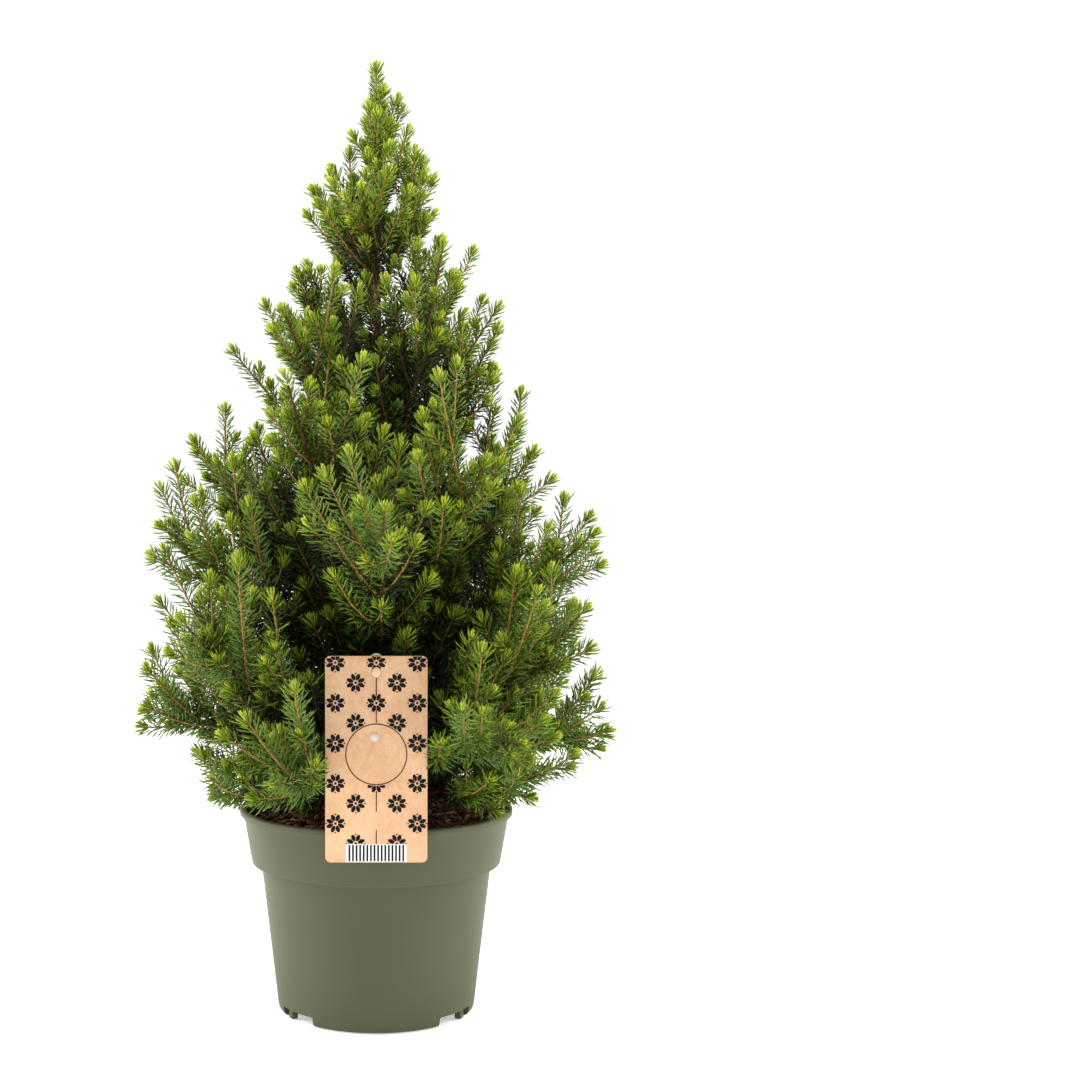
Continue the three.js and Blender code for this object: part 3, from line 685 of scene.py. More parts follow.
def build_pot(finish):
    p = POT
    lip_z = p["height"] - p["lip"]
    collar_z = lip_z - p["collar"]
    ledge = collar_z - 0.4
    edge = p["rim"] - p["overhang"]
    inner = edge - p["wall"]
    # up the outside: foot, body, step under the collar, collar and lip
    profile = [(30, 0)]
    profile += arc(p["foot"] - p["round"], p["round"], p["round"], -90, -6, 5)
    profile += [(p["foot"] + (p["body"] - p["foot"]) * k, p["round"] + (ledge - p["round"]) * k)
                for k in (0.25, 0.5, 0.75, 0.985)]
    profile += [(p["body"] + 0.05, ledge - 0.3), (p["body"] + 0.35, ledge), (p["collar_foot"] - 2.0, ledge)]
    profile += arc(p["collar_foot"] - 1.3, ledge + 1.2, 1.2, -80, -8, 5)
    profile += [(p["collar_foot"] + (edge - p["collar_foot"]) * k, collar_z + 1.1 + (p["collar"] - 1.6) * k)
                for k in (0.3, 0.65, 0.96)]
    profile += [(edge + 0.35, lip_z - 0.35), (edge + 1.0, lip_z)]
    profile += arc(p["rim"] - 1.3, lip_z + 1.3, 1.3, -90, 0, 3)
    # over the rim and down the inside
    profile += arc(p["rim"] - 1.7, p["height"] - 1.7, 1.7, 0, 90, 4)
    profile += arc(inner + 1.2, p["height"] - 1.2, 1.2, 90, 180, 3)
    profile += [(p["collar_foot"] - p["wall"], collar_z + 3.4), (p["body"] - p["wall"] + 0.6, collar_z + 1.6),
                (p["body"] - p["wall"] - 0.1, collar_z - 1.0), (p["body"] - p["wall"] - 3.4, 70),
                (p["foot"] - p["wall"], p["round"] + p["wall"]), (p["foot"] - 5.2, p["floor"])]
    pot = spun(profile)
    for angle in DRAIN["angles"]:
        add_drain(pot, angle)
    own_up(pot, "pot_shell", finish, "pot", "pot", smooth_to=35)


# Mulch.
def chip(place, rng):
    """One flake of bark: a short board with uneven corners."""
    length, width, thick = rng.uniform(3.5, 13), rng.uniform(1.4, 4.6), rng.uniform(0.5, 1.7)
    corners = np.array([[x, y, z] for z in (-0.5, 0.5) for y in (-0.5, 0.5) for x in (-0.5, 0.5)])
    corners[:, 1] *= np.where(corners[:, 0] > 0, rng.uniform(0.35, 1), rng.uniform(0.5, 1))
    corners += rng.uniform(-0.12, 0.12, corners.shape)
    corners *= (length, width, thick)
    turn, tilt, roll = rng.uniform(0, 2 * math.pi), rng.normal(0, 0.22), rng.normal(0, 0.3)
    ct, st, cp, sp, cr, sr = (math.cos(turn), math.sin(turn), math.cos(tilt), math.sin(tilt),
                              math.cos(roll), math.sin(roll))
    spin = (np.array([[ct, -st, 0], [st, ct, 0], [0, 0, 1]])
            @ np.array([[cp, 0, sp], [0, 1, 0], [-sp, 0, cp]])
            @ np.array([[1, 0, 0], [0, cr, -sr], [0, sr, cr]]))
    return corners @ spin.T + place


def build_mulch(finishes):
    """A lumpy bed with flakes of bark strewn over it, in three colours, clear of the trunk."""
    rng = np.random.default_rng(61)
    edge = POT["rim"] - POT["overhang"] - POT["wall"] - 0.5 - (POT["height"] - SOIL_EDGE) * 0.16
    bed = primitive(bpy.ops.mesh.primitive_circle_add, (0, 0, SOIL_EDGE), vertices=96, radius=edge * MM,
                    fill_type="TRIFAN")
    with editing():
        bpy.ops.mesh.subdivide(number_cuts=9)
    roughen(bed, 12, 2, 3.2, 0.45)
    own_up(bed, "mulch_bed", finishes[0], "mulch", "soil")
    faces = np.array([[0, 1, 3], [0, 3, 2], [4, 6, 7], [4, 7, 5], [0, 4, 5], [0, 5, 1], [2, 3, 7], [2, 7, 6],
                      [0, 2, 6], [0, 6, 4], [1, 5, 7], [1, 7, 3]])[:, ::-1]
    for k, finish in enumerate(finishes):
        points, triangles = [], []
        for _ in range(CHIPS["count"]):
            radius = (edge - 3.0) * math.sqrt(rng.uniform(0.006, 1))
            turn = rng.uniform(0, 2 * math.pi)
            height = SOIL_EDGE + 1.6 * (1 - radius / edge) + rng.uniform(-0.4, 2.6)
            made = chip(np.array([radius * math.cos(turn), radius * math.sin(turn), height]), rng)
            across = np.hypot(made[:, 0], made[:, 1])
            if across.max() > edge or across.min() < CHIPS["off_trunk"]:
                continue
            triangles.append(faces + 8 * len(points))
            points.append(made)
        chips = from_arrays("mulch_chips", np.concatenate(points), np.concatenate(triangles))
        own_up(chips, f"mulch_chips_{k + 1}", finish, "mulch")


# Trunk and boughs.
def bark_tube(name, path, radii, sides, relief, grain):
    """A tapering limb along a path, thickened from a curve and roughened with ridges."""
    curve = bpy.data.curves.new(name, "CURVE")
    curve.dimensions = "3D"
    curve.bevel_depth = 1.0 * MM
    curve.bevel_resolution = sides
    curve.use_fill_caps = True
    spline = curve.splines.new("POLY")
    spline.points.add(len(path) - 1)
    for point, place, radius in zip(spline.points, path, radii):
        point.co = (*(place * MM), 1)
        point.radius = radius
    limb = bpy.data.objects.new(name, curve)
    link(limb)
    pick_out(limb)
    bpy.ops.object.convert(target="MESH")
    limb = bpy.context.object
    roughen(limb, grain, 4, relief, 0.5)
    smooth(limb, 60)
    return limb


def build_trunk(finish):
    """The trunk with its bark's relief, from a foot just under the mulch to its tip."""
    heights = np.concatenate([np.linspace(TRUNK["base"] - 1.2, 160, 24), np.linspace(161, TRUNK["top"], 220)])
    path = np.array([trunk_centre(z) for z in heights])
    trunk = bark_tube("trunk_bark", path, [trunk_radius(z) * 0.97 for z in heights], 8, 1.5, 2.6)
    own_up(trunk, "trunk_bark", finish, "bark", "trunk")


def build_boughs(lines, finish):
    """Each bough as the solids have it, with its bark's relief, and carried on to its tip."""
    limbs = []
    for line in lines:
        if line["name"] == "leader":
            continue
        root = BOUGH["least"] + BOUGH["girth"] * length_of(line["bend"])
        share = np.linspace(0.02, 0.97, 90)
        radii = (root * (1 - share) + TWIG["tip"] * share) * 0.92
        limbs.append(bark_tube("bough", bezier(line["bend"], share), radii, 3, 0.5, 1.4))
    own_up(joined(limbs), "boughs_bark", finish, "bark", *nodes_of("bough_"))


# Twig girth, and which shoots count as outer or top ones and get the lighter bark; the inner ones' darker
# bark is older wood, and painted shade inside the crown.
TWIG_WOOD = dict(root=0.58, girth=0.007, tip=0.48, outer=0.52, top=520.0)


def outer(bend):
    """True for a shoot whose middle is near the crown's outline, or up in the top."""
    x, y, z = bezier(bend, 0.5)[0]
    across = max(math.hypot(x, y), 1e-6)
    return across > TWIG_WOOD["outer"] * float(outline(z, x / across)) or z > TWIG_WOOD["top"]


def twig_wood(name, bends, finish):
    """Thin tapering shoots, four-sided, each closed to a point."""
    sides, rings = 4, 4
    shares = np.linspace(0, 0.97, rings)
    k = np.arange(sides)
    n = (k + 1) % sides
    turn = 2 * math.pi * k / sides
    points, triangles = [], []
    for number, bend in enumerate(bends):
        path = bezier(bend, shares)
        along = np.gradient(path, axis=0)
        along /= np.linalg.norm(along, axis=1)[:, None]
        side = np.cross(along, np.where(np.abs(along[:, 2:]) > 0.9, [[1.0, 0, 0]], [[0, 0, 1.0]]))
        side /= np.linalg.norm(side, axis=1)[:, None]
        across = np.cross(along, side)
        root = TWIG_WOOD["root"] + TWIG_WOOD["girth"] * length_of(bend)
        radius = root + (TWIG_WOOD["tip"] - root) * shares
        around = np.cos(turn)[None, :, None] * side[:, None] + np.sin(turn)[None, :, None] * across[:, None]
        ring = path[:, None] + radius[:, None, None] * around
        points.append(np.concatenate([ring.reshape(-1, 3), path[:1], path[-1:] + along[-1:] * 0.8]))
        first = number * (rings * sides + 2)
        foot = first + rings * sides
        for a in range(first, foot - sides, sides):
            triangles.append(np.stack([a + k, a + n, a + n + sides], 1))
            triangles.append(np.stack([a + k, a + n + sides, a + k + sides], 1))
        triangles.append(np.stack([first + n, first + k, np.full(sides, foot)], 1))
        triangles.append(np.stack([foot - sides + k, foot - sides + n, np.full(sides, foot + 1)], 1))
    piece = from_arrays(name, np.concatenate(points), np.concatenate(triangles))
    own_up(piece, name, finish, "bark", *nodes_of("foliage_"), smooth_to=80)


# Needles.
# The darkest of these greens is painted shade, for needles inside the crown.
SHADES = ("deep", "mid", "blue", "fresh", "bright")
NEEDLE = dict(low=13.2, high=8.6, low_tip=250.0, high_tip=540.0, per_mm=1.6, per_mm_at_top=2.8, top=630.0,
              wide=1.08, tuft_wide=1.15)
# The shares of shoots that get the darkest green, a painted shade, up to some depth, and blue green, with
# more of these low down; and the heights between which painted light makes the crown's top fresher, and it
# turns bluer below.
DEALT = dict(deep=0.26, deep_within=0.86, blue=0.58, more_blue=0.24, painted_top_light=(380.0, 580.0), low=(270.0, 190.0))
# How far needles lean from their shoot, in degrees: most along it, less near its tip, least in its tuft.
LEAN = dict(most=63.0, less=24.0, fade=13.0, tuft_tip=9.0, tuft_more=36.0, spread=5.0, least=3.0)
# The tuft's length, which grows with the shoot's, and how many needles it has, with few on a short shoot.
TUFT = dict(least=2.5, growth=0.2, most=6.0, needles=15, more=5, few=11, short=12.0)
GOLDEN_ANGLE = math.radians(137.508)
MOST_TRIANGLES = 190000


def towards_light(bend):
    """The way that a shoot's light side faces: outwards and up. The needles part a little there."""
    middle = bezier(bend, 0.5)[0] * (1, 1, 0)
    outwards = unit(middle) if np.linalg.norm(middle) > 3 else np.array([0.0, -1.0, 0.0])
    return unit(outwards * 0.85 + np.array([0, 0, 0.5]))


def needle_places(length, bare, tuft, per_mm, rng):
    """Where a shoot's needles sit, as shares of its length, and which of them make the tuft at its tip."""
    last = 1 - 0.6 * tuft / length
    count = max(int((last - bare) * length * per_mm), 2)
    tufted = TUFT["few"]
    if length > TUFT["short"]:
        tufted = int(TUFT["needles"] + TUFT["more"] * rng.uniform())
    body = bare + (last - bare) * (np.arange(count) + 0.5) / count
    top = 1 - tuft / length * (1 - np.arange(tufted) / tufted)
    return np.concatenate([body, top]), np.arange(count + tufted) >= count


def needle_ways(bend, t, in_tuft, from_tip, tuft, rng):
    """Which way each needle points and leaves the shoot: a spiral that leans towards the tip."""
    ahead = bezier(bend, t + 0.02) - bezier(bend, t - 0.02)
    along = ahead / np.linalg.norm(ahead, axis=1)[:, None]
    light = towards_light(bend)
    above = light - along * (along @ light)[:, None]
    above /= np.linalg.norm(above, axis=1)[:, None]
    side = np.cross(along, above)
    turn = GOLDEN_ANGLE * np.arange(len(t)) + rng.uniform(0, 2 * math.pi) + rng.normal(0, 0.18, len(t))
    turn += 0.12 * np.sin(2 * turn)
    out = np.cos(turn)[:, None] * above + np.sin(turn)[:, None] * side
    lean = LEAN["most"] - LEAN["less"] * np.exp(-from_tip / LEAN["fade"])
    lean = np.where(in_tuft, LEAN["tuft_tip"] + LEAN["tuft_more"] * np.clip(from_tip / tuft, 0, 1), lean)
    lean += rng.normal(0, LEAN["spread"], len(t))
    lean = np.radians(np.maximum(lean, LEAN["least"]))[:, None]
    return along * np.cos(lean) + out * np.sin(lean), out


def needle_shades(point, in_tuft, from_tip, tuft, rng):
    """The darkest green as painted shade inside the crown, bluer low down, fresher at the tips, and painted
    light in the top.
    """
    deep, mid, blue, fresh, bright = range(len(SHADES))
    across = np.hypot(point[:, 0], point[:, 1])
    depth = across / np.maximum(outline(point[:, 2], point[:, 0] / np.maximum(across, 1)), 14)
    # Painted light: above 540 the top counts as the crown's edge, so it gets no painted shade.
    depth = np.maximum(depth, (point[:, 2] - 540) / 60)
    painted_top_light = share_between(point[:, 2], *DEALT["painted_top_light"])
    low = share_between(point[-1, 2], *DEALT["low"])
    dealt = rng.uniform(0, 1)
    own = blue if dealt < DEALT["blue"] + DEALT["more_blue"] * low else mid
    # Painted shade: some shoots short of the crown's edge get the darkest green all along.
    if dealt < DEALT["deep"] and depth[-1] < DEALT["deep_within"]:
        own = deep
    # Painted shade: needles deep inside the crown get the darkest green, less deep towards the top.
    shade = np.where(depth < rng.uniform(0.46, 0.7) - 0.2 * painted_top_light, deep, own)
    # Painted light: towards the top, blue greens turn mid green and mid greens turn fresh.
    shade[(shade == blue) & (rng.uniform(0, 1, len(shade)) < painted_top_light)] = mid
    shade[(shade == mid) & (rng.uniform(0, 1, len(shade)) < 0.5 * painted_top_light)] = fresh
    # Fresh green near the tips; inner shoots get far less of it and their tufts stay mid green, as painted
    # shade.
    young = np.exp(-np.maximum(from_tip - 5, 0) / 8) * np.where(depth > 0.6, 0.8 - 0.4 * low, 0.15)
    shade[rng.uniform(0, 1, len(shade)) < young] = fresh
    shade[in_tuft] = fresh if depth[-1] > 0.4 else mid
    if depth[-1] > 0.62:
        shade[in_tuft & (from_tip < (0.62 - 0.22 * low) * tuft)] = bright
    return shade


def place_needles(shoots):
    """Every needle's root, way, side, length and width, sorted by shade."""
    rng = np.random.default_rng(97)
    found = {name: [] for name in SHADES}
    for shoot in shoots:
        bend = shoot["bend"]
        length = length_of(bend)
        tuft = min(TUFT["most"], TUFT["least"] + TUFT["growth"] * length)
        per_mm = NEEDLE["per_mm_at_top" if bend[2][2] > NEEDLE["top"] else "per_mm"]
        t, in_tuft = needle_places(length, shoot["bare"], tuft, per_mm, rng)
        from_tip = (1 - t) * length
        point = bezier(bend, t)
        way, out = needle_ways(bend, t, in_tuft, from_tip, tuft, rng)
        height = share_between(bend[2][2], NEEDLE["low_tip"], NEEDLE["high_tip"])
        size = NEEDLE["low"] + (NEEDLE["high"] - NEEDLE["low"]) * height
        size *= min(0.74 + 0.26 * length / 24, 1)
        long = np.where(in_tuft, 4.2 + 0.2 * size + 0.9 * from_tip, size) * rng.uniform(0.85, 1.1, len(t))
        wide = np.where(in_tuft, NEEDLE["tuft_wide"], NEEDLE["wide"]) * rng.uniform(0.88, 1.12, len(t))
        shade = needle_shades(point, in_tuft, from_tip, tuft, rng)
        for k, name in enumerate(SHADES):
            mine = shade == k
            found[name].append((point[mine], way[mine], out[mine], long[mine], wide[mine]))
    return {name: [np.concatenate(column) for column in zip(*rows)] for name, rows in found.items()}


def needle_meshes(shade, needles, finish):
    """Each needle is a closed three-sided blade, pointed at both ends, that bends towards its shoot's tip."""
    root, way, out, long, wide = needles
    side = np.cross(way, out)
    side /= np.linalg.norm(side, axis=1)[:, None]
    up = np.cross(side, way)
    # each ring of three corners: its share of the needle's length and width, and its bend
    rings = ((0.55, 1.15, 0.03),) if shade in ("deep", "mid") else ((0.3, 0.9, 0.0), (0.76, 0.96, 0.05))
    points = [root]
    for share, girth, bend in rings:
        for turn in (0.5, 0.5 + 2 * math.pi / 3, 0.5 + 4 * math.pi / 3):
            half = 0.5 * girth * (wide[:, None] * (math.cos(turn) * side + math.sin(turn) * up))
            points.append(root + long[:, None] * (way * share - up * bend) + half)
    points.append(root + long[:, None] * (way - up * 0.12))
    points = np.stack(points, 1)
    tip = points.shape[1] - 1
    faces = []
    for k in range(3):
        n = (k + 1) % 3
        faces += [[0, 1 + n, 1 + k], [tip - 3 + k, tip - 3 + n, tip]]
        for first in range(1, tip - 3, 3):
            faces += [[first + k, first + n, first + 3 + n], [first + k, first + 3 + n, first + 3 + k]]
    faces = np.array(faces)
    most = MOST_TRIANGLES // len(faces)
    for part, start in enumerate(range(0, len(root), most)):
        some = points[start:start + most]
        triangles = faces[None] + points.shape[1] * np.arange(len(some))[:, None, None]
        name = f"needles_{shade}_{part + 1}"
        piece = from_arrays(name, some.reshape(-1, 3), triangles.reshape(-1, 3))
        own_up(piece, name, finish, "foliage")


# Card and pick.
UPRIGHT = (math.pi / 2, 0, 0)


def round_pin(radius, back, front, side, height, corners=32):
    return primitive(bpy.ops.mesh.primitive_cylinder_add, (side, (back + front) / 2, height), UPRIGHT,
                     vertices=corners, radius=radius * MM, depth=(back - front) * MM)


def card_drill(radius, height, side=0.0):
    """A round cutter through the card."""
    return round_pin(radius, CARD_FRONT + 5, CARD_FRONT - 5, side, height, 64)


def build_card(finish):
    """A thin sheet with rounded corners, a hole for the stud and an open hanging hole."""
    back, middle = CARD_FRONT + CARD["thick"], CARD["foot"] + CARD["height"] / 2
    card = primitive(bpy.ops.mesh.primitive_plane_add, (0, back, middle), UPRIGHT,
                     (CARD["width"] * MM, CARD["height"] * MM, 1), size=1)
    with editing():
        bpy.ops.mesh.bevel(offset=CARD["corner"] * MM, segments=8, affect="VERTICES")
        draw_out(0, -CARD["thick"], 0)
        face_outwards()
    cut(card, card_drill(STUD["radius"] + 0.4, STUD["height"], STUD["side"]))
    cut(card, card_drill(HANGING_HOLE["radius"], HANGING_HOLE["height"]))
    soften(card, 0.18, 2)
    own_up(card, "card_sheet", finish, "card", "label_card", smooth_to=40)


# Print: flat shapes that stand a little off the card's front.
PRINT = dict(lift=0.08, sunk=0.1, pitch=13.04, first=4.3, columns=((-26.4, 0.0, 26.4), (-13.3, 13.3)),
             rows=10, ring=19.3, ring_height=191.8, line=0.75, panel_width=39.2, panel_top=133.4,
             stripes=16)
# Rows and columns, counted from the top left, where the ring or the blank middle takes a star's place.
NO_STAR = ((4, 1), (5, 0), (5, 1), (8, 1))


def raised(piece, lift=PRINT["lift"]):
    """Thickens a flat shape that lies just inside the card, until it stands off the card by its lift."""
    pick_out(piece)
    with editing():
        draw_out(0, -(lift + PRINT["sunk"]), 0)
        face_outwards()
    return piece


def flat_disc(radius, corners, x=0.0, z=0.0, fill="NGON"):
    return primitive(bpy.ops.mesh.primitive_circle_add, (x, CARD_FRONT + PRINT["sunk"], z), UPRIGHT,
                     vertices=corners, radius=radius * MM, fill_type=fill)


def flat_bar(width, low, high, x=0.0):
    place = (x, CARD_FRONT + PRINT["sunk"], (low + high) / 2)
    return primitive(bpy.ops.mesh.primitive_plane_add, place, UPRIGHT,
                     (width * MM, (high - low) * MM, 1), size=1)


def copy_at(piece, x, z, turn=0.0):
    """A copy with its own mesh, turned in the card's plane and moved there."""
    twin = piece.copy()
    twin.data = piece.data.copy()
    link(twin)
    twin.rotation_euler = (0, turn, 0)
    twin.location = (x * MM, 0, z * MM)
    settle(twin)
    return twin


def petal():
    """A six-cornered lozenge, narrower towards the star's middle."""
    piece = flat_disc(1, 6)
    with editing():
        bpy.ops.transform.resize(value=(2.5, 1, 1.47), center_override=(0, CARD_FRONT * MM, 0))
    unpick_all("VERT")
    for corner in piece.data.vertices:
        corner.select = corner.co.x < 0
    with editing(everything=False):
        bpy.ops.transform.resize(value=(1, 1, 0.84), center_override=(0, CARD_FRONT * MM, 0))
    with editing():
        bpy.ops.transform.translate(value=(3.9 * MM, 0, 0))
    return raised(piece)


def star():
    """A plain eight-petalled star, modelled round the card's zero height."""
    first = petal()
    petals = [copy_at(first, 0, 0, math.radians(22.5 + 45 * k)) for k in range(1, 8)]
    first.rotation_euler = (0, math.radians(22.5), 0)
    settle(first)
    return joined([first, *petals, raised(flat_disc(0.85, 12))])


def four_dots():
    """Small dots beside, above and below a star."""
    places = ((5.9, 0), (0, 5.9), (-5.9, 0), (0, -5.9))
    return joined([raised(flat_disc(0.6, 8, x, z)) for x, z in places])


def trimmed(piece, top):
    """Cuts the print off at the card's top edge, at the panel, inside the ring and round the hanging hole."""
    ring = PRINT["ring"] + PRINT["line"] + 0.4
    cut(piece, card_drill(ring, PRINT["ring_height"]))
    cut(piece, card_drill(HANGING_HOLE["radius"] + 0.3, HANGING_HOLE["height"]))
    pick_out(piece)
    for height, way in ((top - 0.3, 1), (PRINT["panel_top"] + 0.1, -1)):
        with editing():
            bpy.ops.mesh.bisect(plane_co=(0, 0, height * MM), plane_no=(0, 0, way), clear_outer=True,
                                use_fill=True)
    return piece


def hoop(radius, width, height):
    """A thin printed ring: a circle drawn outwards once, then thickened."""
    piece = flat_disc(radius, 128, 0, height, "NOTHING")
    grown = (radius + width) / radius
    with editing():
        bpy.ops.mesh.extrude_edges_move(TRANSFORM_OT_translate={"value": (0, 0, 0)})
        bpy.ops.transform.resize(value=(grown, 1, grown), center_override=(0, CARD_FRONT * MM, height * MM))
    return raised(piece)


def build_print(ink, line_ink, dot_ink, white):
    """A staggered field of stars round an empty ring, joined by a broken line, above a striped panel."""
    p = PRINT
    top = CARD["foot"] + CARD["height"]
    star_piece, dots_piece = star(), four_dots()
    stars, dots = [], []
    for row in range(p["rows"]):
        height = top - p["first"] - p["pitch"] * row
        for column, x in enumerate(p["columns"][row % 2]):
            if (row, column) not in NO_STAR:
                stars.append(copy_at(star_piece, x, height))
                dots.append(copy_at(dots_piece, x, height))
    for model in (star_piece, dots_piece):
        bpy.data.objects.remove(model, do_unlink=True)
    own_up(trimmed(joined(stars), top), "card_stars", ink, "card")
    own_up(trimmed(joined(dots), top), "card_dots", dot_ink, "card")
    ring_foot, ring_top = p["ring_height"] - p["ring"], p["ring_height"] + p["ring"]
    spans = ((top - 25.8, top - 14.3), (ring_top + 1.2, top - 34.6), (154.5, ring_foot - 4.4),
             (p["panel_top"] + 0.1, 142.7))
    lines = [raised(flat_bar(p["line"], low, high)) for low, high in spans]
    own_up(joined([hoop(p["ring"], p["line"], p["ring_height"]), *lines]), "card_lines", line_ink, "card")
    panel = raised(flat_bar(p["panel_width"], CARD["foot"] + 0.4, p["panel_top"]))
    own_up(panel, "card_panel", white, "card")
    field = p["panel_width"] - 4.4
    spacing = field / (p["stripes"] - 1)
    bar = flat_bar(spacing / 2, CARD["foot"] + 0.8, p["panel_top"] - 0.4, -field / 2)
    first = raised(bar, 1.75 * p["lift"])
    stripes = [first] + [copy_at(first, spacing * k, 0) for k in range(1, p["stripes"])]
    own_up(joined(stripes), "card_stripes", ink, "card")


def shifted(piece, y, z):
    """Moves a settled piece by some metres, and settles it there."""
    piece.location = (0, y, z)
    settle(piece)


def build_pick(finish):
    """A flat stake with a round head and a pointed foot, which leans back from the card's top edge."""
    hinge = CARD["foot"] + CARD["height"]
    top = hinge + PICK["head"] - PICK["width"] / 2
    point = SOIL_EDGE - PICK["buried"]
    shoulder = point + PICK["point"]
    head = round_pin(PICK["width"] / 2, PICK["thick"] / 2, -PICK["thick"] / 2, 0, top, 48)
    blade = primitive(bpy.ops.mesh.primitive_cube_add, (0, 0, (top + shoulder) / 2),
                      scale=(PICK["width"] * MM, PICK["thick"] * MM, (top - shoulder) * MM), size=1)
    unpick_all("FACE")
    for face in blade.data.polygons:
        face.select = face.normal.z < -0.9
    with editing(everything=False):
        draw_out(0, 0, -PICK["point"])
        bpy.ops.transform.resize(value=(0.12, 1, 1), center_override=(0, 0, point * MM))
    cut(blade, head, "UNION")
    soften(blade, 0.3, 2)
    shifted(blade, 0, -hinge * MM)
    blade.rotation_euler = (math.radians(PICK["lean"]), 0, 0)
    settle(blade)
    shifted(blade, (CARD_FRONT + CARD["thick"] + 0.6 + PICK["thick"] / 2) * MM, hinge * MM)
    own_up(blade, "pick_blade", finish, "pick", "label_pick", smooth_to=40)


def build_fasteners(stud_finish, peg_finish):
    """The stud's low dome on its pin, and the peg behind the hanging hole: both hold the card to the pick."""
    stud = primitive(bpy.ops.mesh.primitive_uv_sphere_add, (STUD["side"], CARD_FRONT, STUD["height"]),
                     scale=(1, 0.41, 1), segments=32, ring_count=16, radius=STUD["head"] * MM)
    pin = round_pin(STUD["radius"], CARD_FRONT + 7.7, CARD_FRONT + 0.3, STUD["side"], STUD["height"])
    cut(stud, pin, "UNION")
    own_up(stud, "pick_stud", stud_finish, "pick", smooth_to=40)
    peg = round_pin(HANGING_HOLE["peg"], CARD_FRONT + 3.4, CARD_FRONT + 0.1, 0, HANGING_HOLE["height"])
    soften(peg, 0.4, 3)
    own_up(peg, "pick_peg", peg_finish, "pick", smooth_to=40)


# Studio.
# Each soft light's name, its place and size in metres, and its power.
LIGHTS = (
    ("left_softbox", (-1.5, 0.1, 0.8), (0.8, 1.6), 39),
    ("right_softbox", (1.5, 0.1, 0.8), (0.8, 1.6), 31),
    ("top_softbox", (0.0, -0.25, 2.2), (1.4, 1.0), 42),
)
LIGHTS_AIM = (0, 0, 0.3)
# The sky's strength as seen, and as a light from in front and from behind, where it changes between them.
SKY = dict(seen=1.1, front=0.42, behind=0.95, change=(-0.9, 0.1))
# The picture's width, the focal length and the plant's middle column in pixels, the camera's place in
# metres, and how far it looks down in degrees.
CAMERA = dict(picture=1080, focal=1852, middle=376.3, place=(0, -1.284, 0.380), down=2.4)


def build_floor():
    floor = primitive(bpy.ops.mesh.primitive_plane_add, (0, 3000, -0.2), size=14000 * MM)
    floor.name = "studio_floor"
    white = Finish("studio_white", 0.9, 0.1)
    white.colour(white.noise(0.4, 1, 0.4), (0.3, (0.93, 0.93, 0.93)), (0.7, (0.95, 0.95, 0.95)))
    white.surface.inputs["Emission Color"].default_value = (1, 1, 1, 1)
    white.surface.inputs["Emission Strength"].default_value = 0.45
    floor.data.materials.append(white.material)


def build_lights():
    """White behind the plant, a dimmer sky in front of it than behind it, and three soft lights."""
    world = bpy.data.worlds.new("studio")
    bpy.context.scene.world = world
    world.use_nodes = True
    nodes, links = world.node_tree.nodes, world.node_tree.links
    white = nodes["Background"]
    white.inputs["Color"].default_value = (1, 1, 1, 1)
    white.inputs["Strength"].default_value = SKY["seen"]
    dimmed = nodes.new("ShaderNodeBackground")
    direction = nodes.new("ShaderNodeTexCoord")
    split = nodes.new("ShaderNodeSeparateXYZ")
    front = nodes.new("ShaderNodeMapRange")
    front.inputs["From Min"].default_value, front.inputs["From Max"].default_value = SKY["change"]
    front.inputs["To Min"].default_value, front.inputs["To Max"].default_value = SKY["front"], SKY["behind"]
    links.new(direction.outputs["Generated"], split.inputs["Vector"])
    links.new(split.outputs["Y"], front.inputs["Value"])
    links.new(front.outputs["Result"], dimmed.inputs["Strength"])
    seen = nodes.new("ShaderNodeLightPath")
    mix = nodes.new("ShaderNodeMixShader")
    links.new(seen.outputs["Is Camera Ray"], mix.inputs["Fac"])
    links.new(dimmed.outputs["Background"], mix.inputs[1])
    links.new(white.outputs["Background"], mix.inputs[2])
    links.new(mix.outputs["Shader"], nodes["World Output"].inputs["Surface"])
    for name, place, size, power in LIGHTS:
        light = bpy.data.lights.new(name, "AREA")
        light.shape, light.size, light.size_y = "RECTANGLE", *size
        light.energy = power
        lamp = bpy.data.objects.new(name, light)
        lamp.location = place
        lamp.rotation_euler = (Vector(LIGHTS_AIM) - Vector(place)).to_track_quat("-Z", "Y").to_euler()
        link(lamp)


def build_camera():
    camera = bpy.data.cameras.new("camera")
    camera.sensor_width = 36
    camera.lens = CAMERA["focal"] / CAMERA["picture"] * camera.sensor_width
    camera.shift_x = (CAMERA["picture"] / 2 - CAMERA["middle"]) / CAMERA["picture"]
    camera.clip_start, camera.clip_end = 0.05, 50
    eye = bpy.data.objects.new("camera", camera)
    eye.location = CAMERA["place"]
    eye.rotation_euler = (math.radians(90 - CAMERA["down"]), 0, 0)
    link(eye)
    bpy.context.scene.camera = eye
    shown = bpy.context.scene.view_settings
    shown.view_transform, shown.look, shown.exposure = "Standard", "None", 0.0


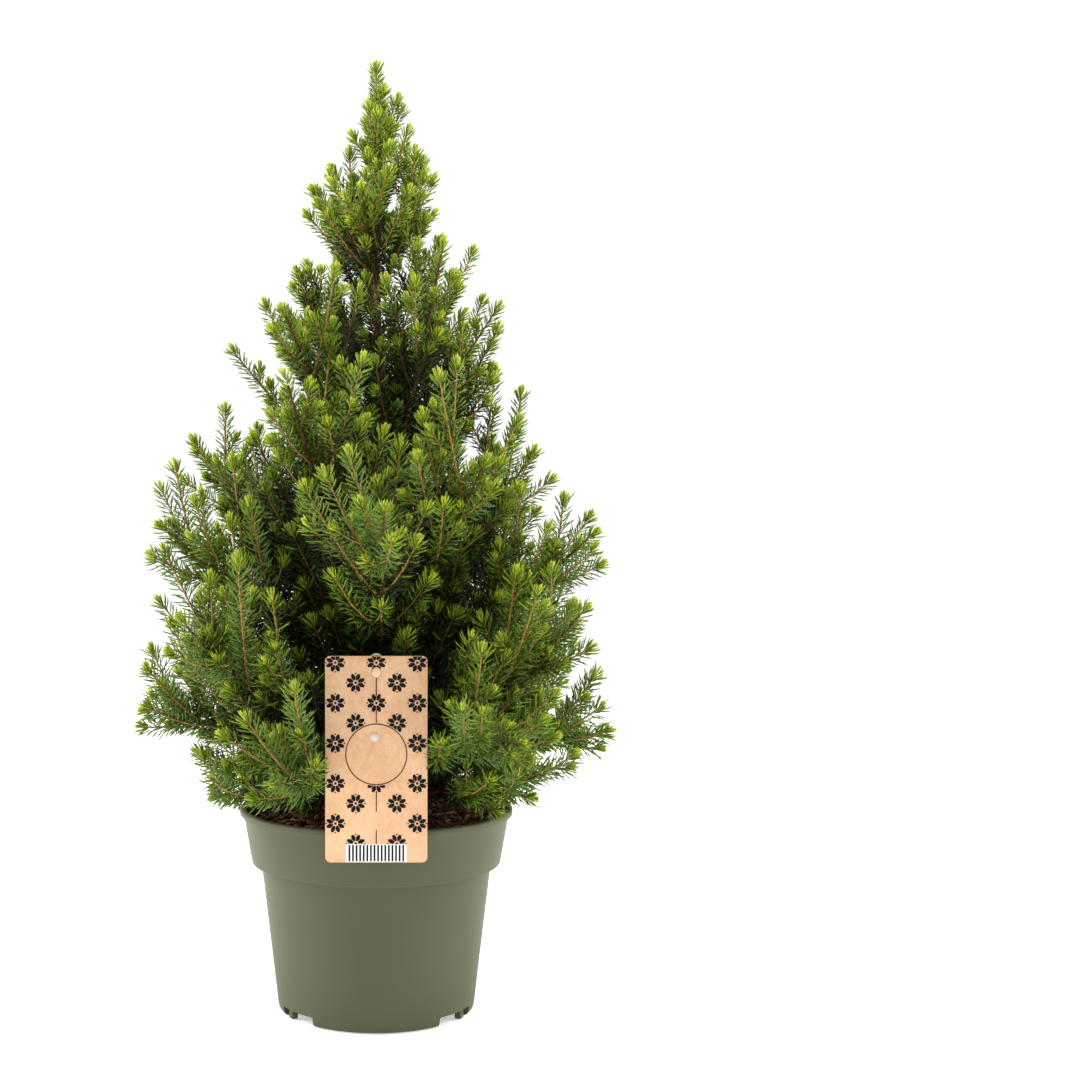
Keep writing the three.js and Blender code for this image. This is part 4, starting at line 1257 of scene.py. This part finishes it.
# The whole plant.
lines, shoots = grow()
twigs = [shoot["bend"] for shoot in shoots if not shoot["limb"]]
build_pot(pot_finish())
build_mulch((mulch_finish("mulch_dark", srgb(34, 20, 14), srgb(72, 42, 28)),
             mulch_finish("mulch_red", srgb(70, 34, 20), srgb(128, 66, 38)),
             mulch_finish("mulch_tan", srgb(92, 56, 34), srgb(158, 104, 66))))
build_trunk(bark_finish("trunk_bark_brown", srgb(74, 52, 36), srgb(148, 116, 82), 260, 0.0008))
build_boughs(lines, bark_finish("bough_bark_brown", srgb(62, 38, 20), srgb(122, 78, 42), 420, 0.0005))
# Lighter bark on the outer and top shoots, darker on the inner ones: older wood, and painted shade inside the
# crown.
twig_wood("twigs_bark", [bend for bend in twigs if outer(bend)],
          bark_finish("twig_bark_orange", srgb(100, 66, 28), srgb(188, 142, 74), 600, 0.0003))
twig_wood("inner_twigs_bark_old_and_painted_shade", [bend for bend in twigs if not outer(bend)],
          bark_finish("inner_twig_bark_brown_old_and_painted_shade", srgb(58, 38, 20), srgb(112, 78, 42), 600, 0.0003))
greens = {
    # The darkest green is painted shade, for needles inside the crown.
    "deep": needle_finish("needle_deep_green", srgb(26, 38, 6), srgb(48, 65, 13)),
    "mid": needle_finish("needle_green", srgb(62, 88, 14), srgb(95, 121, 24)),
    "blue": needle_finish("needle_blue_green", srgb(78, 104, 40), srgb(116, 141, 67)),
    "fresh": needle_finish("needle_fresh_green", srgb(96, 123, 22), srgb(133, 154, 40)),
    "bright": needle_finish("needle_tip_yellow_green", srgb(138, 155, 30), srgb(176, 188, 60)),
}
for shade, needles in place_needles(shoots).items():
    needle_meshes(shade, needles, greens[shade])
build_card(card_finish())
build_print(ink_finish("print_black", srgb(12, 10, 10), srgb(22, 19, 18)),
            ink_finish("print_line_brown", srgb(66, 44, 34), srgb(84, 58, 44)),
            ink_finish("print_red_brown", srgb(96, 36, 24), srgb(118, 52, 34)),
            ink_finish("print_white", srgb(226, 228, 230), srgb(240, 240, 240)))
build_pick(plastic_finish("pale_green_plastic", srgb(176, 190, 136), srgb(190, 204, 150), 0.4))
build_fasteners(plastic_finish("white_stud_plastic", srgb(196, 184, 172), srgb(212, 202, 192), 0.35),
                plastic_finish("cream_peg_plastic", srgb(224, 186, 146), srgb(236, 200, 160), 0.4))
build_floor()
build_lights()
build_camera()
